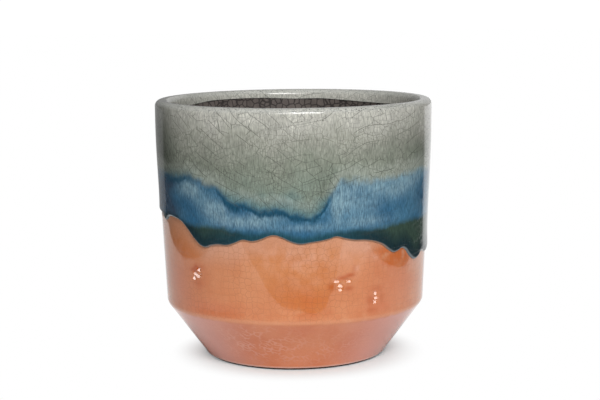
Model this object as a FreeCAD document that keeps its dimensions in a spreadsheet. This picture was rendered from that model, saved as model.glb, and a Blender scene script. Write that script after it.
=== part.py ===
import FreeCAD, Part
import math
import os
import Sketcher

# A glazed ceramic cachepot, in millimetres.
# +Z is up, the origin is the middle of the foot on the ground, and the front faces -Y.
# The fired clay is one revolved body. Every coat of glaze is an even layer laid on its surface:
# a first coat inside and out, then upper coats over the lip that ran down the outside.
# A turn is an angle in degrees round the pot from the front, positive towards +X.

SIZES = {
    # fired clay, outside
    "clay_height": 127.9,
    "rim_radius": 68.35,
    "lip_rounding": 1.9,
    "shoulder_drop": 20.0,
    "shoulder_reach_share": 0.6,
    "corner_inset": 3.8,
    "corner_height": 27.6,
    "corner_rounding": 4.2,
    # fired clay, inside
    "rim_wall": 4.8,
    "corner_wall": 5.2,
    "inner_corner_rise": 2.5,
    "inner_rounding": 8.0,
    "floor_thickness": 6.0,
    "floor_rounding": 8.0,
    # bare foot ring and the recess under the floor
    "foot_radius": 44.3,
    "foot_height": 1.0,
    "foot_step": 0.6,
    "foot_ring_width": 8.0,
    "foot_rounding": 0.5,
    "underside_recess": 2.5,
    "recess_rounding": 1.5,
    # coats of glaze
    "first_coat": 0.5,
    "top_coat": 0.6,
    "pooled_coat": 1.0,
    # how far a cutting tool stands past what it cuts
    "overrun": 5.0,
}

# Edges of the coats round the pot: turn in degrees, height as a share of the clay height.

# lower edge of the upper glaze on the outside, with its drips
RUN_LINE_SHARES = (
    (-71, 0.574), (-68.5, 0.559), (-65.5, 0.574), (-58, 0.578), (-52, 0.563), (-48, 0.536),
    (-44.5, 0.509), (-41, 0.489), (-38.5, 0.486), (-35.5, 0.494), (-28, 0.500), (-24, 0.510),
    (-21, 0.522), (-17, 0.519), (-12.5, 0.530), (-8, 0.543), (-5, 0.536), (-2, 0.524),
    (2, 0.513), (8, 0.518), (14, 0.527), (17.5, 0.534), (20.5, 0.526), (25, 0.516),
    (31, 0.511), (36, 0.501), (39, 0.487), (42, 0.467), (45, 0.454), (48, 0.457),
    (50.5, 0.464), (53, 0.456), (56.5, 0.428), (60.5, 0.408), (64.5, 0.412), (68, 0.425),
    (76, 0.415), (84, 0.434), (95, 0.469), (104, 0.489), (113, 0.477), (121, 0.442),
    (128, 0.430), (136, 0.461), (147, 0.504), (158, 0.516), (168, 0.496), (176, 0.481),
    (185, 0.500), (196, 0.539), (207, 0.551), (217, 0.528), (226, 0.493), (233, 0.489),
    (241, 0.524), (252, 0.567), (263, 0.582), (272, 0.583), (281, 0.580),
)

# top of the dark green roll in which the glaze pooled
POOL_TOP_SHARES = (
    (-80, 0.596), (-68, 0.593), (-58, 0.596), (-52, 0.584), (-47, 0.572), (-38, 0.571),
    (-28, 0.568), (-20, 0.558), (-15, 0.557), (-8, 0.567), (-4, 0.560), (2.5, 0.545),
    (9, 0.548), (16, 0.561), (24, 0.565), (35, 0.562), (41, 0.567), (54, 0.572),
    (67, 0.568), (84, 0.570), (100, 0.575), (118, 0.562), (132, 0.568), (147, 0.580),
    (160, 0.575), (175, 0.560), (190, 0.571), (207, 0.588), (222, 0.575), (235, 0.570),
    (248, 0.587), (260, 0.599), (270, 0.600),
)

# where the grey glaze gives way to the blue band
BLUE_TOP_SHARES = (
    (-68, 0.742), (-52, 0.742), (-45, 0.747), (-37, 0.731), (-34, 0.713), (-29.5, 0.682),
    (-25, 0.652), (-18.5, 0.653), (-13, 0.629), (-6.5, 0.642), (-1, 0.618), (5, 0.610),
    (9.5, 0.621), (12, 0.646), (14.5, 0.689), (18, 0.732), (22, 0.744), (35, 0.745),
    (49, 0.755), (60, 0.761), (72, 0.752), (88, 0.722), (104, 0.684), (120, 0.668),
    (135, 0.690), (150, 0.728), (166, 0.741), (182, 0.722), (197, 0.681), (212, 0.661),
    (228, 0.676), (244, 0.712), (260, 0.738), (276, 0.745),
)

# lower edge of the grey collar inside the mouth
COLLAR_LINE_SHARES = (
    (0, 0.968), (20, 0.963), (40, 0.966), (62, 0.972), (85, 0.969), (110, 0.963),
    (135, 0.959), (150, 0.963), (165, 0.970), (180, 0.969), (195, 0.974), (212, 0.975),
    (226, 0.973), (236, 0.966), (255, 0.963), (280, 0.968), (300, 0.973), (322, 0.970),
    (342, 0.965),
)

# Corners of the clay's half section before rounding: radius, height and the rounding there.
# Each is a sum of sizes. "parallel" stands for a radius that follows from the line to the corner,
# which runs parallel to the first line of the outline.
SURFACE_CORNERS = (
    ("foot_radius + foot_step", "foot_height", None),
    ("rim_radius - corner_inset", "corner_height", "corner_rounding"),
    ("rim_radius", "clay_height - shoulder_drop", "shoulder"),
    ("rim_radius", "clay_height", "lip_rounding"),
    ("rim_radius - rim_wall", "clay_height", "lip_rounding"),
    ("rim_radius - corner_inset - corner_wall", "corner_height + inner_corner_rise",
     "inner_rounding"),
    ("parallel", "underside_recess + floor_thickness", "floor_rounding"),
    ("axis", "underside_recess + floor_thickness", None),
)
UNDERSIDE_CORNERS = (
    ("axis", "underside_recess", None),
    ("foot_radius - foot_ring_width", "underside_recess", "recess_rounding"),
    ("foot_radius - foot_ring_width", "ground", "foot_rounding"),
    ("foot_radius", "ground", "foot_rounding"),
    ("foot_radius", "foot_height", None),
)
# The space within the middle of the clay wall, which parts the liner from the outside coat.
WALL_CORE_CORNERS = (
    ("axis", "underside_recess + floor_thickness/2", None),
    ("foot_radius", "underside_recess + floor_thickness/2", None),
    ("rim_radius - corner_inset - corner_wall/2", "corner_height + inner_corner_rise/2", None),
    ("rim_radius - rim_wall/2", "clay_height", None),
    ("rim_radius - rim_wall/2", "clay_height + overrun", None),
    ("axis", "clay_height + overrun", None),
)

UP = FreeCAD.Vector(0, 0, 1)
FULL_TURN = 360
WALL_RING_POINTS = 120
WALL_RING_SPANS = 6

# how a sketch numbers the points of an edge, and its own two axes
EDGE_POINTS = ("edge", "start", "end")
START = EDGE_POINTS.index("start")
END = EDGE_POINTS.index("end")
HORIZONTAL_AXIS_INDEX = -1
VERTICAL_AXIS_INDEX = -2
SKETCH_ORIGIN = (HORIZONTAL_AXIS_INDEX, START)

doc = FreeCAD.newDocument("Cachepot")


def fill_sheet():
    """The driving sizes, one named cell each."""
    sheet = doc.addObject("Spreadsheet::Sheet", "Sizes")
    for row, (name, number) in enumerate(SIZES.items(), start=1):
        sheet.set(f"A{row}", name)
        sheet.set(f"B{row}", str(number))
        sheet.setAlias(f"B{row}", name)
    doc.recompute()
    return sheet


sheet = fill_sheet()


def size(name):
    """A size as the sheet has it."""
    return float(getattr(sheet, name))


def term(words):
    """A size, or a size over a number, such as rim_wall/2."""
    name, _, divisor = words.partition("/")
    return size(name) / float(divisor) if divisor else size(name)


def total(words):
    """What a sum of sizes comes to now. The ground and the axis are at zero."""
    if words in ("ground", "axis"):
        return 0.0
    parts = words.split()
    result = term(parts[0])
    for sign, part in zip(parts[1::2], parts[2::2]):
        result += term(part) if sign == "+" else -term(part)
    return result


def bound(words):
    """The same sum as an expression that follows the sheet."""
    return " ".join(word if word in "+-" else "Sizes." + word for word in words.split())


def corner_places(corners):
    """Where the corners stand now, as points of the sketch."""
    places = []
    for radius, height, _ in corners:
        up = total(height)
        if radius == "parallel":
            first, second = places[0], places[1]
            slope = (second.x - first.x) / (second.y - first.y)
            across = places[-1].x - (places[-1].y - up) * slope
        else:
            across = total(radius)
        places.append(FreeCAD.Vector(across, up, 0))
    return places


def reach(rounding, half_turn):
    """How far from its corner a rounding starts."""
    if rounding is None:
        return 0.0
    if rounding == "shoulder":
        return size("shoulder_drop") * size("shoulder_reach_share")
    return size(rounding) * math.tan(half_turn)


def draw_outline(sketch, corners, closed):
    """Lines between the corners with tangent arcs, every corner bound to the sheet."""
    places = corner_places(corners)
    count = len(corners)
    spans = count if closed else count - 1
    headings = []
    for index in range(spans):
        headings.append((places[(index + 1) % count] - places[index]).normalize())
    turns = [0.0] * count
    for index in range(count):
        if closed or 0 < index < count - 1:
            before, after = headings[index - 1], headings[index]
            turns[index] = math.atan2(before.cross(after).z, before.dot(after))
    reaches = [reach(corners[i][2], abs(turns[i]) / 2) for i in range(count)]
    lines = []
    for index in range(spans):
        following = (index + 1) % count
        start = places[index] + headings[index] * reaches[index]
        end = places[following] - headings[index] * reaches[following]
        lines.append(sketch.addGeometry(Part.LineSegment(start, end), False))
    for index, (radius, height, rounding) in enumerate(corners):
        ends_here = [(lines[index - 1], END)] if closed or index > 0 else []
        starts_here = [(lines[index], START)] if index < spans else []
        if rounding is None:
            corner = (starts_here + ends_here)[0]
            if ends_here and starts_here:
                sketch.addConstraint(
                    Sketcher.Constraint("Coincident", *ends_here[0], *starts_here[0]))
        else:
            corner = round_corner(sketch, places[index], turns[index], reaches[index],
                                  ends_here[0][0], starts_here[0][0], headings[index - 1], rounding)
        place_corner(sketch, corner, radius, height, index)
        if radius == "parallel":
            sketch.addConstraint(Sketcher.Constraint("Parallel", lines[index - 1], lines[0]))


def round_corner(sketch, place, turn, away, line_before, line_after, heading, rounding):
    """A tangent arc between two lines, and the point where the lines would meet."""
    side = 1 if turn > 0 else -1
    radius = away / math.tan(abs(turn) / 2)
    inward = FreeCAD.Vector(-heading.y, heading.x, 0) * side
    centre = place - heading * away + inward * radius
    first_angle = math.atan2(-inward.y, -inward.x)
    angles = sorted((first_angle, first_angle + turn))
    arc = sketch.addGeometry(Part.ArcOfCircle(Part.Circle(centre, UP, radius), *angles), False)
    near, far = (START, END) if side > 0 else (END, START)
    sketch.addConstraint(Sketcher.Constraint("Tangent", line_before, END, arc, near))
    sketch.addConstraint(Sketcher.Constraint("Tangent", line_after, START, arc, far))
    meeting = sketch.addGeometry(Part.Point(place), True)
    sketch.addConstraint(Sketcher.Constraint("PointOnObject", meeting, START, line_before))
    sketch.addConstraint(Sketcher.Constraint("PointOnObject", meeting, START, line_after))
    if rounding == "shoulder":
        length = sketch.addConstraint(
            Sketcher.Constraint("Distance", meeting, START, line_after, START, away))
        sketch.setExpression(f"Constraints[{length}]",
                             "Sizes.shoulder_drop * Sizes.shoulder_reach_share")
    else:
        length = sketch.addConstraint(Sketcher.Constraint("Radius", arc, radius))
        sketch.setExpression(f"Constraints[{length}]", bound(rounding))
    return (meeting, START)


def place_corner(sketch, corner, radius, height, index):
    """Radius and height of one corner, each following the sheet."""
    if radius == "axis":
        sketch.addConstraint(Sketcher.Constraint("PointOnObject", *corner, VERTICAL_AXIS_INDEX))
    elif radius != "parallel":
        across = sketch.addConstraint(
            Sketcher.Constraint("DistanceX", *SKETCH_ORIGIN, *corner, total(radius)))
        sketch.renameConstraint(across, f"radius_{index}")
        sketch.setExpression(f"Constraints.radius_{index}", bound(radius))
    if height == "ground":
        sketch.addConstraint(Sketcher.Constraint("PointOnObject", *corner, HORIZONTAL_AXIS_INDEX))
    else:
        up = sketch.addConstraint(
            Sketcher.Constraint("DistanceY", *SKETCH_ORIGIN, *corner, total(height)))
        sketch.renameConstraint(up, f"height_{index}")
        sketch.setExpression(f"Constraints.height_{index}", bound(height))


def make_clay():
    """The clay as it comes off the wheel: one closed half section, revolved."""
    body = doc.addObject("PartDesign::Body", "ClayBody")
    sketch = body.newObject("Sketcher::SketchObject", "ClayProfile")
    planes = [plane for plane in body.Origin.OriginFeatures if plane.Role == "XZ_Plane"]
    sketch.AttachmentSupport = [(planes[0], "")]
    sketch.MapMode = "FlatFace"
    draw_outline(sketch, SURFACE_CORNERS + UNDERSIDE_CORNERS, closed=True)
    doc.recompute()
    turned = body.newObject("PartDesign::Revolution", "Turned")
    turned.Profile = sketch
    turned.ReferenceAxis = (sketch, ["V_Axis"])
    turned.Angle = FULL_TURN
    sketch.Visibility = False
    doc.recompute()
    return body


def make_upright_sketch(name, corners, closed):
    """A half section standing in the XZ plane."""
    sketch = doc.addObject("Sketcher::SketchObject", name)
    sketch.Placement = FreeCAD.Placement(FreeCAD.Vector(0, 0, 0),
                                         FreeCAD.Rotation(FreeCAD.Vector(1, 0, 0), 90))
    draw_outline(sketch, corners, closed)
    doc.recompute()
    return sketch


def revolve(name, half_section):
    """A solid of revolution about the pot's axis."""
    solid = doc.addObject("Part::Revolution", name)
    solid.Source = half_section
    solid.Axis = UP
    solid.Angle = FULL_TURN
    solid.Solid = True
    return solid


def make_offset(name, source, thickness, filled):
    """The source line moved outwards by one coat, or the ribbon between the two."""
    ribbon = doc.addObject("Part::Offset2D", name)
    ribbon.Source = source
    ribbon.Mode = "Skin"
    ribbon.Fill = filled
    ribbon.setExpression("Value", f"-Sizes.{thickness}")
    return ribbon


def make_coat(name, source, thickness):
    """One coat of glaze over the whole surface, before its edges are cut."""
    return revolve(name, make_offset(name + "Ribbon", source, thickness, True))


def join(kind, name, base, tool):
    """A boolean of two objects: Part::Cut, Part::Common or Part::Fuse."""
    result = doc.addObject(kind, name)
    result.Base = base
    result.Tool = tool
    return result


def wavy_curve(line_shares, radius):
    """A closed wavy edge round the pot at one radius, its parameter the turn in degrees."""
    points = []
    turns = []
    for turn, share in line_shares:
        points.append(place_at(turn, radius, share * size("clay_height")))
        turns.append(float(turn))
    turns.append(turns[0] + FULL_TURN)
    curve = Part.BSplineCurve()
    curve.interpolate(Points=points, PeriodicFlag=True, Parameters=turns)
    return curve


def place_at(turn, radius, height):
    """A point by its turn round the pot."""
    angle = math.radians(turn)
    return FreeCAD.Vector(radius * math.sin(angle), -radius * math.cos(angle), height)


def make_region_above(name, line_shares, inner_radius, outer_radius):
    """Everything above a wavy edge, between two radii."""
    ring = Part.makeRuledSurface(wavy_curve(line_shares, inner_radius).toShape(),
                                 wavy_curve(line_shares, outer_radius).toShape())
    region = doc.addObject("Part::Feature", name)
    region.Shape = ring.extrude(UP * (size("clay_height") + size("overrun")))
    return region


def wall_radius(height, thickness):
    """Radius of the straight outer wall, a layer of that thickness proud of the clay."""
    rise = total("clay_height - shoulder_drop - corner_height")
    lean = size("corner_inset") / rise
    clay = total("rim_radius - corner_inset") + lean * (height - size("corner_height"))
    return clay + thickness * math.hypot(1, lean)


def ring_on_wall(line_shares, thickness):
    """A wavy edge as it lies on the leaning wall, level with the edge on every other layer."""
    wave = wavy_curve(line_shares, size("rim_radius"))
    points = []
    turns = []
    for step in range(WALL_RING_POINTS):
        turn = FULL_TURN * step / WALL_RING_POINTS
        first = wave.FirstParameter
        height = wave.value(first + (turn - first) % FULL_TURN).z
        points.append(place_at(turn, wall_radius(height, thickness), height))
        turns.append(turn)
    turns.append(float(FULL_TURN))
    ring = Part.BSplineCurve()
    ring.interpolate(Points=points, PeriodicFlag=True, Parameters=turns)
    return ring


def make_band(name, lower_shares, upper_shares, inner, outer):
    """A layer on the wall between two wavy edges and two distances from the clay."""
    rings = [ring_on_wall(lower_shares, outer), ring_on_wall(lower_shares, inner),
             ring_on_wall(upper_shares, inner), ring_on_wall(upper_shares, outer)]
    faces = []
    for index in range(WALL_RING_SPANS):
        span = [FULL_TURN * index / WALL_RING_SPANS, FULL_TURN * (index + 1) / WALL_RING_SPANS]
        edges = [ring.toShape(*span) for ring in rings]
        for edge, following in zip(edges, edges[1:] + edges[:1]):
            faces.append(Part.makeRuledSurface(edge, following))
    shell = Part.Shell(faces)
    shell.sewShape()
    solid = Part.Solid(shell)
    if solid.Volume < 0:
        solid.reverse()
    band = doc.addObject("Part::Feature", name)
    band.Shape = solid
    return band


def build():
    """All pieces of the pot, by node name."""
    clay = make_clay()
    surface = make_upright_sketch("SurfaceLine", SURFACE_CORNERS, closed=False)
    core = revolve("WallCore", make_upright_sketch("WallCoreProfile", WALL_CORE_CORNERS, closed=True))

    first_line = make_offset("FirstCoatLine", surface, "first_coat", False)
    first = make_coat("FirstCoat", surface, "first_coat")
    top = make_coat("TopCoat", first_line, "top_coat")
    doc.recompute()

    outside = total("rim_radius + overrun")
    inside = total("rim_radius - rim_wall - overrun")
    blue_inside = total("rim_radius - corner_inset/2 - rim_wall/2")
    collar_outside = total("rim_radius - corner_inset/2 - rim_wall/4")
    above_blue = make_region_above("AboveBlue", BLUE_TOP_SHARES, blue_inside, outside)
    above_collar = make_region_above("AboveCollar", COLLAR_LINE_SHARES, inside, collar_outside)

    pieces = {}
    pieces["clay_body"] = clay
    pieces["liner_glaze"] = join("Part::Common", "LinerGlaze", first, core)
    pieces["base_glaze"] = join("Part::Cut", "BaseGlaze", first, core)

    grey_outside = join("Part::Common", "GreyOutside", top, above_blue)
    grey_inside = join("Part::Common", "GreyInside", top, above_collar)
    pieces["grey_glaze"] = join("Part::Fuse", "GreyGlaze", grey_outside, grey_inside)
    bare = size("first_coat")
    pieces["blue_glaze"] = make_band("BlueGlaze", POOL_TOP_SHARES, BLUE_TOP_SHARES,
                                     bare, bare + size("top_coat"))
    pieces["drip_edge"] = make_band("DripEdge", RUN_LINE_SHARES, POOL_TOP_SHARES,
                                    bare, bare + size("pooled_coat"))
    doc.recompute()
    for name, piece in pieces.items():
        piece.Label = name
    return pieces


def check(pieces):
    """Stops with a message if anything failed without raising."""
    for item in doc.Objects:
        if "Invalid" in item.State or "Error" in item.State:
            raise RuntimeError(f"{item.Name} did not build: {item.State}")
    for name, piece in pieces.items():
        if piece.Shape.isNull() or not piece.Shape.isValid():
            raise RuntimeError(f"{name} has no valid shape")
        if len(piece.Shape.Solids) != 1:
            raise RuntimeError(f"{name} is {len(piece.Shape.Solids)} solids")


def main():
    pieces = build()
    check(pieces)
    os.makedirs("parts", exist_ok=True)
    for name, piece in pieces.items():
        piece.Shape.exportStep(f"parts/{name}.step")
        print(f"{name}: {piece.Shape.Volume:.1f} mm3")


main()
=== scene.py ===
import math

import bpy
import numpy as np
from mathutils import Matrix, Vector, kdtree


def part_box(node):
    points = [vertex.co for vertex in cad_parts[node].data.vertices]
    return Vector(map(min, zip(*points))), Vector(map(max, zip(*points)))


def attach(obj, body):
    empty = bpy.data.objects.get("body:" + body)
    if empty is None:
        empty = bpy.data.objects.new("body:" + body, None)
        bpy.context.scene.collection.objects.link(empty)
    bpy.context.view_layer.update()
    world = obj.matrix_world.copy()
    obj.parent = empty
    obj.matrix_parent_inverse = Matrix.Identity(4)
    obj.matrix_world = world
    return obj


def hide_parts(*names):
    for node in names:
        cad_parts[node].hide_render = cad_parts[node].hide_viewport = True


# A glazed ceramic cachepot, dressed in its coats of glaze.
# Lengths are in millimetres until a mesh, a light or the camera is made, then in metres.
# A turn is an angle in degrees round the pot from the front, positive towards +X.

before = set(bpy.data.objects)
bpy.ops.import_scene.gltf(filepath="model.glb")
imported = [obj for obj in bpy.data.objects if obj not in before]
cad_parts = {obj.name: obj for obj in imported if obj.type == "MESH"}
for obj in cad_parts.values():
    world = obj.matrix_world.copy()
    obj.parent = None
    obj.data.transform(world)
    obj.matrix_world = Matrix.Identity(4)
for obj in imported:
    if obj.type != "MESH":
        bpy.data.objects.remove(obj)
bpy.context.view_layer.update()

MM = 0.001
FULL_TURN = 360.0

# Clay and coats, as the frame has them.
clay_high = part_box("clay_body")[1] / MM
RIM_RADIUS = clay_high.x
CLAY_HEIGHT = clay_high.z
FIRST_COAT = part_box("base_glaze")[1].x / MM - RIM_RADIUS
TOP_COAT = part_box("grey_glaze")[1].x / MM - RIM_RADIUS - FIRST_COAT

# The clay's half section. A drop is from the rim, an inset from its outside, and a rise from the
# outer corner.
LIP_ROUNDING = 1.9
SHOULDER_DROP = 20.0
SHOULDER_ROUNDING = 507.0
CORNER_INSET = 3.8
CORNER_HEIGHT = 27.6
CORNER_ROUNDING = 4.2
RIM_WALL = 4.8
CORNER_WALL = 5.2
INNER_CORNER_RISE = 2.5
INNER_ROUNDING = 8.0
FLOOR_HEIGHT = 8.5
FLOOR_ROUNDING = 8.0
GLAZED_EDGE_RADIUS = 44.9
GLAZED_EDGE_HEIGHT = 1.0

# How the glaze lies: how far a coat is sunk into what it lies on, how much thicker it is where it
# pooled, fading upwards, and in its drips, how wide its rolled edges are, and how uneven it is.
SEAT = 0.05
POOLED_EXTRA = 0.42
POOLED_FADE = 6.0
DRIP_EXTRA = 0.25
RUN_ROLL = 1.0
FOOT_ROLL = 0.8
HAND_WAVE = 0.08
FIRE_RIPPLE = 0.005
WAVE_SEED = 11
LEAST_WAVE_SHARE = 0.5

# Lower edge of the upper glaze on the outside, with its drips: turn, share of the clay height.
RUN_LINE_SHARES = (
    (-72, 0.574), (-68.3, 0.558), (-65.2, 0.574), (-58.3, 0.578), (-51.9, 0.563), (-48, 0.536),
    (-44.4, 0.509), (-41, 0.489), (-38.7, 0.485), (-35.4, 0.494), (-32.3, 0.499), (-27.9, 0.499),
    (-24.1, 0.510), (-21, 0.522), (-16.7, 0.519), (-12.4, 0.530), (-9.9, 0.540), (-7.4, 0.543),
    (-5, 0.536), (-2.2, 0.524), (2.2, 0.513), (6.7, 0.517), (10.7, 0.521), (14.1, 0.527),
    (17.0, 0.534), (20.1, 0.526), (24.5, 0.517), (30.1, 0.512), (34.7, 0.503), (38.5, 0.489),
    (42.1, 0.467), (45.2, 0.454), (47.8, 0.457), (50.5, 0.464), (52.9, 0.457), (56.5, 0.428),
    (60.4, 0.408), (64.7, 0.412), (67.8, 0.425), (76, 0.415), (84, 0.434), (95, 0.469),
    (104, 0.489), (113, 0.477), (121, 0.442), (128, 0.430), (136, 0.461), (147, 0.504),
    (158, 0.516), (168, 0.496), (176, 0.481), (185, 0.500), (196, 0.539), (207, 0.551),
    (217, 0.528), (226, 0.493), (233, 0.489), (241, 0.524), (252, 0.567), (263, 0.582),
    (272, 0.583), (281, 0.580),
)

# Top of the dark green roll in which the glaze pooled.
POOL_TOP_SHARES = (
    (-80, 0.596), (-68, 0.593), (-58, 0.596), (-52, 0.584), (-47, 0.572), (-38, 0.571),
    (-28, 0.568), (-20, 0.558), (-15, 0.557), (-8, 0.567), (-4, 0.560), (2.5, 0.545),
    (9, 0.548), (16, 0.561), (24, 0.565), (35, 0.562), (41, 0.567), (54, 0.572),
    (67, 0.568), (84, 0.570), (100, 0.575), (118, 0.562), (132, 0.568), (147, 0.580),
    (160, 0.575), (175, 0.560), (190, 0.571), (207, 0.588), (222, 0.575), (235, 0.570),
    (248, 0.587), (260, 0.599), (270, 0.600),
)

# Where the grey glaze gives way to the blue band.
BLUE_TOP_SHARES = (
    (-68, 0.750), (-60, 0.742), (-52, 0.729), (-45, 0.730), (-37, 0.722), (-34, 0.709),
    (-29.5, 0.682), (-25, 0.655), (-18.5, 0.654), (-13, 0.629), (-6.5, 0.642), (-1, 0.618),
    (5, 0.610), (9.5, 0.621), (12, 0.646), (14.5, 0.689), (18, 0.732), (22, 0.738),
    (35, 0.735), (49, 0.742), (60, 0.750), (72, 0.744), (88, 0.722), (104, 0.684),
    (120, 0.668), (135, 0.690), (150, 0.728), (166, 0.741), (182, 0.722), (197, 0.681),
    (212, 0.661), (228, 0.676), (244, 0.712), (260, 0.738), (276, 0.745),
)

# Where the blue's colour strays from that line: turn, millimetres up, half width in degrees.
BLUE_BLEEDS = ((-66, -1.6, 10), (-47, 2.0, 6), (-31, 1.6, 4))

# Lower edge of the grey collar inside the mouth.
COLLAR_LINE_SHARES = (
    (0, 0.968), (20, 0.963), (40, 0.966), (62, 0.972), (85, 0.969), (110, 0.963),
    (135, 0.959), (150, 0.963), (165, 0.970), (180, 0.969), (195, 0.974), (212, 0.975),
    (226, 0.973), (236, 0.966), (255, 0.963), (280, 0.968), (300, 0.973), (322, 0.970),
    (342, 0.965),
)

# Soft patches of colour: turn, height, half width in degrees, half height, strength.
PALE_PATCHES = (
    (-49, 90, 7, 4, 0.7), (-38, 84, 7, 4, 0.5), (-26, 76.5, 8, 2.6, 0.8), (-14, 77.5, 5, 3, 0.8),
    (-7, 78, 4, 2, 0.5), (5, 73.5, 9, 1.8, 0.6), (17, 84, 2.2, 8, 1.0), (20, 87, 5, 7, 0.8),
    (33, 93.5, 14, 3, 1.0), (29, 84, 8, 7, 0.6), (46, 90, 7, 5, 0.5), (60, 94, 8, 3, 0.6),
    (30, 75, 12, 2.4, 0.7), (38, 97, 16, 3.5, 1.0), (62, 98, 10, 4, 0.8), (-34, 80, 5, 4, 0.6),
    (52, 92, 12, 7, 0.6), (40, 90, 8, 4, 0.5), (-45, 89.5, 5, 3.5, 0.9), (-32, 81, 5, 3, 0.9),
    (44, 93, 10, 4, 0.6), (-18, 74.5, 12, 2.2, 0.5), (88, 84, 9, 4, 0.8), (112, 79, 8, 4, 0.7),
    (150, 86, 12, 5, 0.9), (176, 83, 7, 5, 0.6), (204, 79, 9, 4, 0.8), (240, 85, 10, 4, 0.7),
    (266, 90, 8, 4, 0.8),
)
NAVY_PATCHES = (
    (-62, 91, 8, 3, 0.9), (-66, 84, 7, 9, 1.0), (-60, 77, 7, 4, 0.9), (-78, 84, 8, 9, 0.7),
    (66, 82, 7, 5, 0.3), (122, 80, 8, 4, 0.6), (190, 82, 9, 5, 0.6), (224, 80, 8, 5, 0.7),
)
CONTOUR_PATCHES = (
    (-60, 93, 9, 5, 0.8), (-30, 86, 7, 6, 0.9), (-20, 82, 8, 5, 1.0), (-8, 80, 8, 5, 0.9),
    (3, 78, 9, 5, 1.0), (12, 84, 4, 9, 0.9), (-50, 95, 8, 4, 0.6), (22, 95, 3, 3, 0.4),
    (104, 87, 14, 6, 0.9), (128, 87, 10, 5, 0.6), (196, 87, 14, 7, 0.9), (228, 87, 12, 6, 0.8),
)
# Darker grey: partly painted shade on the left side, which gets less light, partly the glaze's own
# darker places.
DARK_GLAZE_AND_SHADE_PATCHES = (
    (-74, 108, 17, 30, 1.0), (-64, 96, 12, 12, 0.5), (64, 104, 10, 8, 0.4),
    (48, 108, 14, 14, 0.24), (-36, 100, 14, 12, 0.2), (14, 93, 7, 9, 0.35),
    (128, 104, 16, 14, 0.4), (196, 104, 18, 16, 0.5), (236, 110, 16, 20, 0.5),
)
TEAL_PATCHES = ((-6, 68, 22, 8, 1.0), (12, 68, 14, 8, 0.7), (168, 66, 24, 8, 0.9))
GREY_RIM_PATCHES = (
    (-60, 72, 14, 12, 1.0), (-42, 64, 9, 8, 0.8), (2, 66, 6, 5, 0.8), (47, 60, 9, 9, 1.0),
    (61, 54, 12, 12, 1.0), (84, 54, 12, 10, 0.7), (128, 56, 16, 9, 1.0), (182, 62, 10, 8, 0.8),
    (230, 64, 14, 9, 1.0), (272, 74, 20, 9, 0.8),
)
# Redder apricot, partly painted light: lighter on the left side, where the wall gets too little
# light.
RUDDY_AND_LIGHT_PATCHES = (
    (-44, 30, 12, 4, 0.5), (-60, 42, 14, 16, 1.0), (-34, 33, 14, 4, 0.8), (50, 42, 14, 14, 0.7),
    (38, 32, 8, 3, 0.7), (104, 44, 18, 16, 0.7), (150, 34, 18, 6, 0.6), (214, 46, 20, 18, 0.7),
    (258, 40, 14, 12, 0.6),
)
PEACH_STREAKS = (
    (31.4, 62.3, 2.2, 1.6, 0.9), (28.7, 57.5, 1.8, 3.2, 0.8), (26.2, 52.0, 1.4, 3.0, 0.8),
    (35.5, 57.0, 2.0, 1.4, 0.6), (2, 60, 22, 7, 0.95), (-57, 58, 8, 8, 0.4), (4, 47, 12, 9, 0.35),
    (140, 60, 3, 5, 0.7), (-110, 58, 3, 6, 0.7),
)
SCUFF_PATCHES = (
    (-20, 14.5, 20, 9, 1.0), (6, 9, 12, 5, 0.6), (24, 13, 14, 8, 0.35), (140, 15, 25, 9, 0.7),
    (-130, 13, 22, 8, 0.6),
)

# Dents in the apricot glaze, small scoops side by side, each an even slope that goes in as it
# goes up: turn, height, half width, half height, slant.
DENT_SLOPE = 0.275
SCOOPS = (
    (-44.0, 50.5, 1.2, 0.8, -15), (-46.1, 48.0, 2.0, 0.8, -30), (-43.6, 47.5, 1.5, 0.8, 25),
    (-47.2, 45.9, 1.3, 0.8, 0), (17.5, 47.0, 1.7, 0.8, -15), (18.9, 45.0, 1.7, 0.8, -20),
    (19.1, 43.0, 1.2, 0.8, 0), (22.5, 46.9, 1.5, 0.8, -15), (35.9, 39.3, 1.2, 0.8, 0),
    (36.3, 37.2, 1.5, 0.8, 20), (35.6, 35.2, 1.3, 0.8, -10),
)
# Painted shade on the upper side of each dent, which faces down, with deeper glaze pooled there.
DENT_SHADES = (
    (-47.2, 50.0, 2.4, 1.2, 1.0), (-45.6, 51.4, 1.6, 1.4, 0.9), (-44.6, 44.0, 3.2, 2.6, 0.5),
    (-42.6, 52.0, 3.0, 1.8, 0.4), (20.0, 48.6, 2.6, 1.1, 0.9), (23.4, 49.8, 2.2, 1.0, 0.9),
    (25.2, 52.8, 1.2, 2.0, 0.4), (15.4, 44.6, 1.8, 2.2, 0.7), (22.8, 43.4, 2.2, 1.2, 0.8),
    (33.2, 36.4, 2.2, 3.0, 0.7), (36.4, 41.8, 3.2, 1.8, 0.55), (39.0, 37.0, 1.8, 3.0, 0.5),
    (34.0, 31.4, 3.0, 1.4, 0.5), (15, 32, 3, 1.6, 0.3),
)
# Deep orange: partly glaze pooled thick, partly painted dark reflection in front and painted shade
# along the crease above the corner.
DEEP_AND_REFLECTION_PATCHES = (
    (49, 57, 10, 6, 1.0), (38, 60, 5, 2.5, 0.5), (42, 54, 5, 3, 0.5), (-50, 57, 9, 5, 0.25),
    (40, 45, 18, 14, 0.32), (57, 45, 8, 14, 0.3), (30, 44, 6, 14, 0.2), (-38, 42, 10, 14, 0.28),
    (-25, 38, 8, 8, 0.2), (5, 38, 10, 6, 0.65), (-36, 30.5, 16, 1.6, 0.6), (4, 31.4, 9, 1.2, 0.5),
    (110, 52, 12, 6, 0.7), (155, 55, 12, 6, 0.6), (215, 58, 14, 8, 0.7), (262, 62, 12, 7, 0.6),
)

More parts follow.
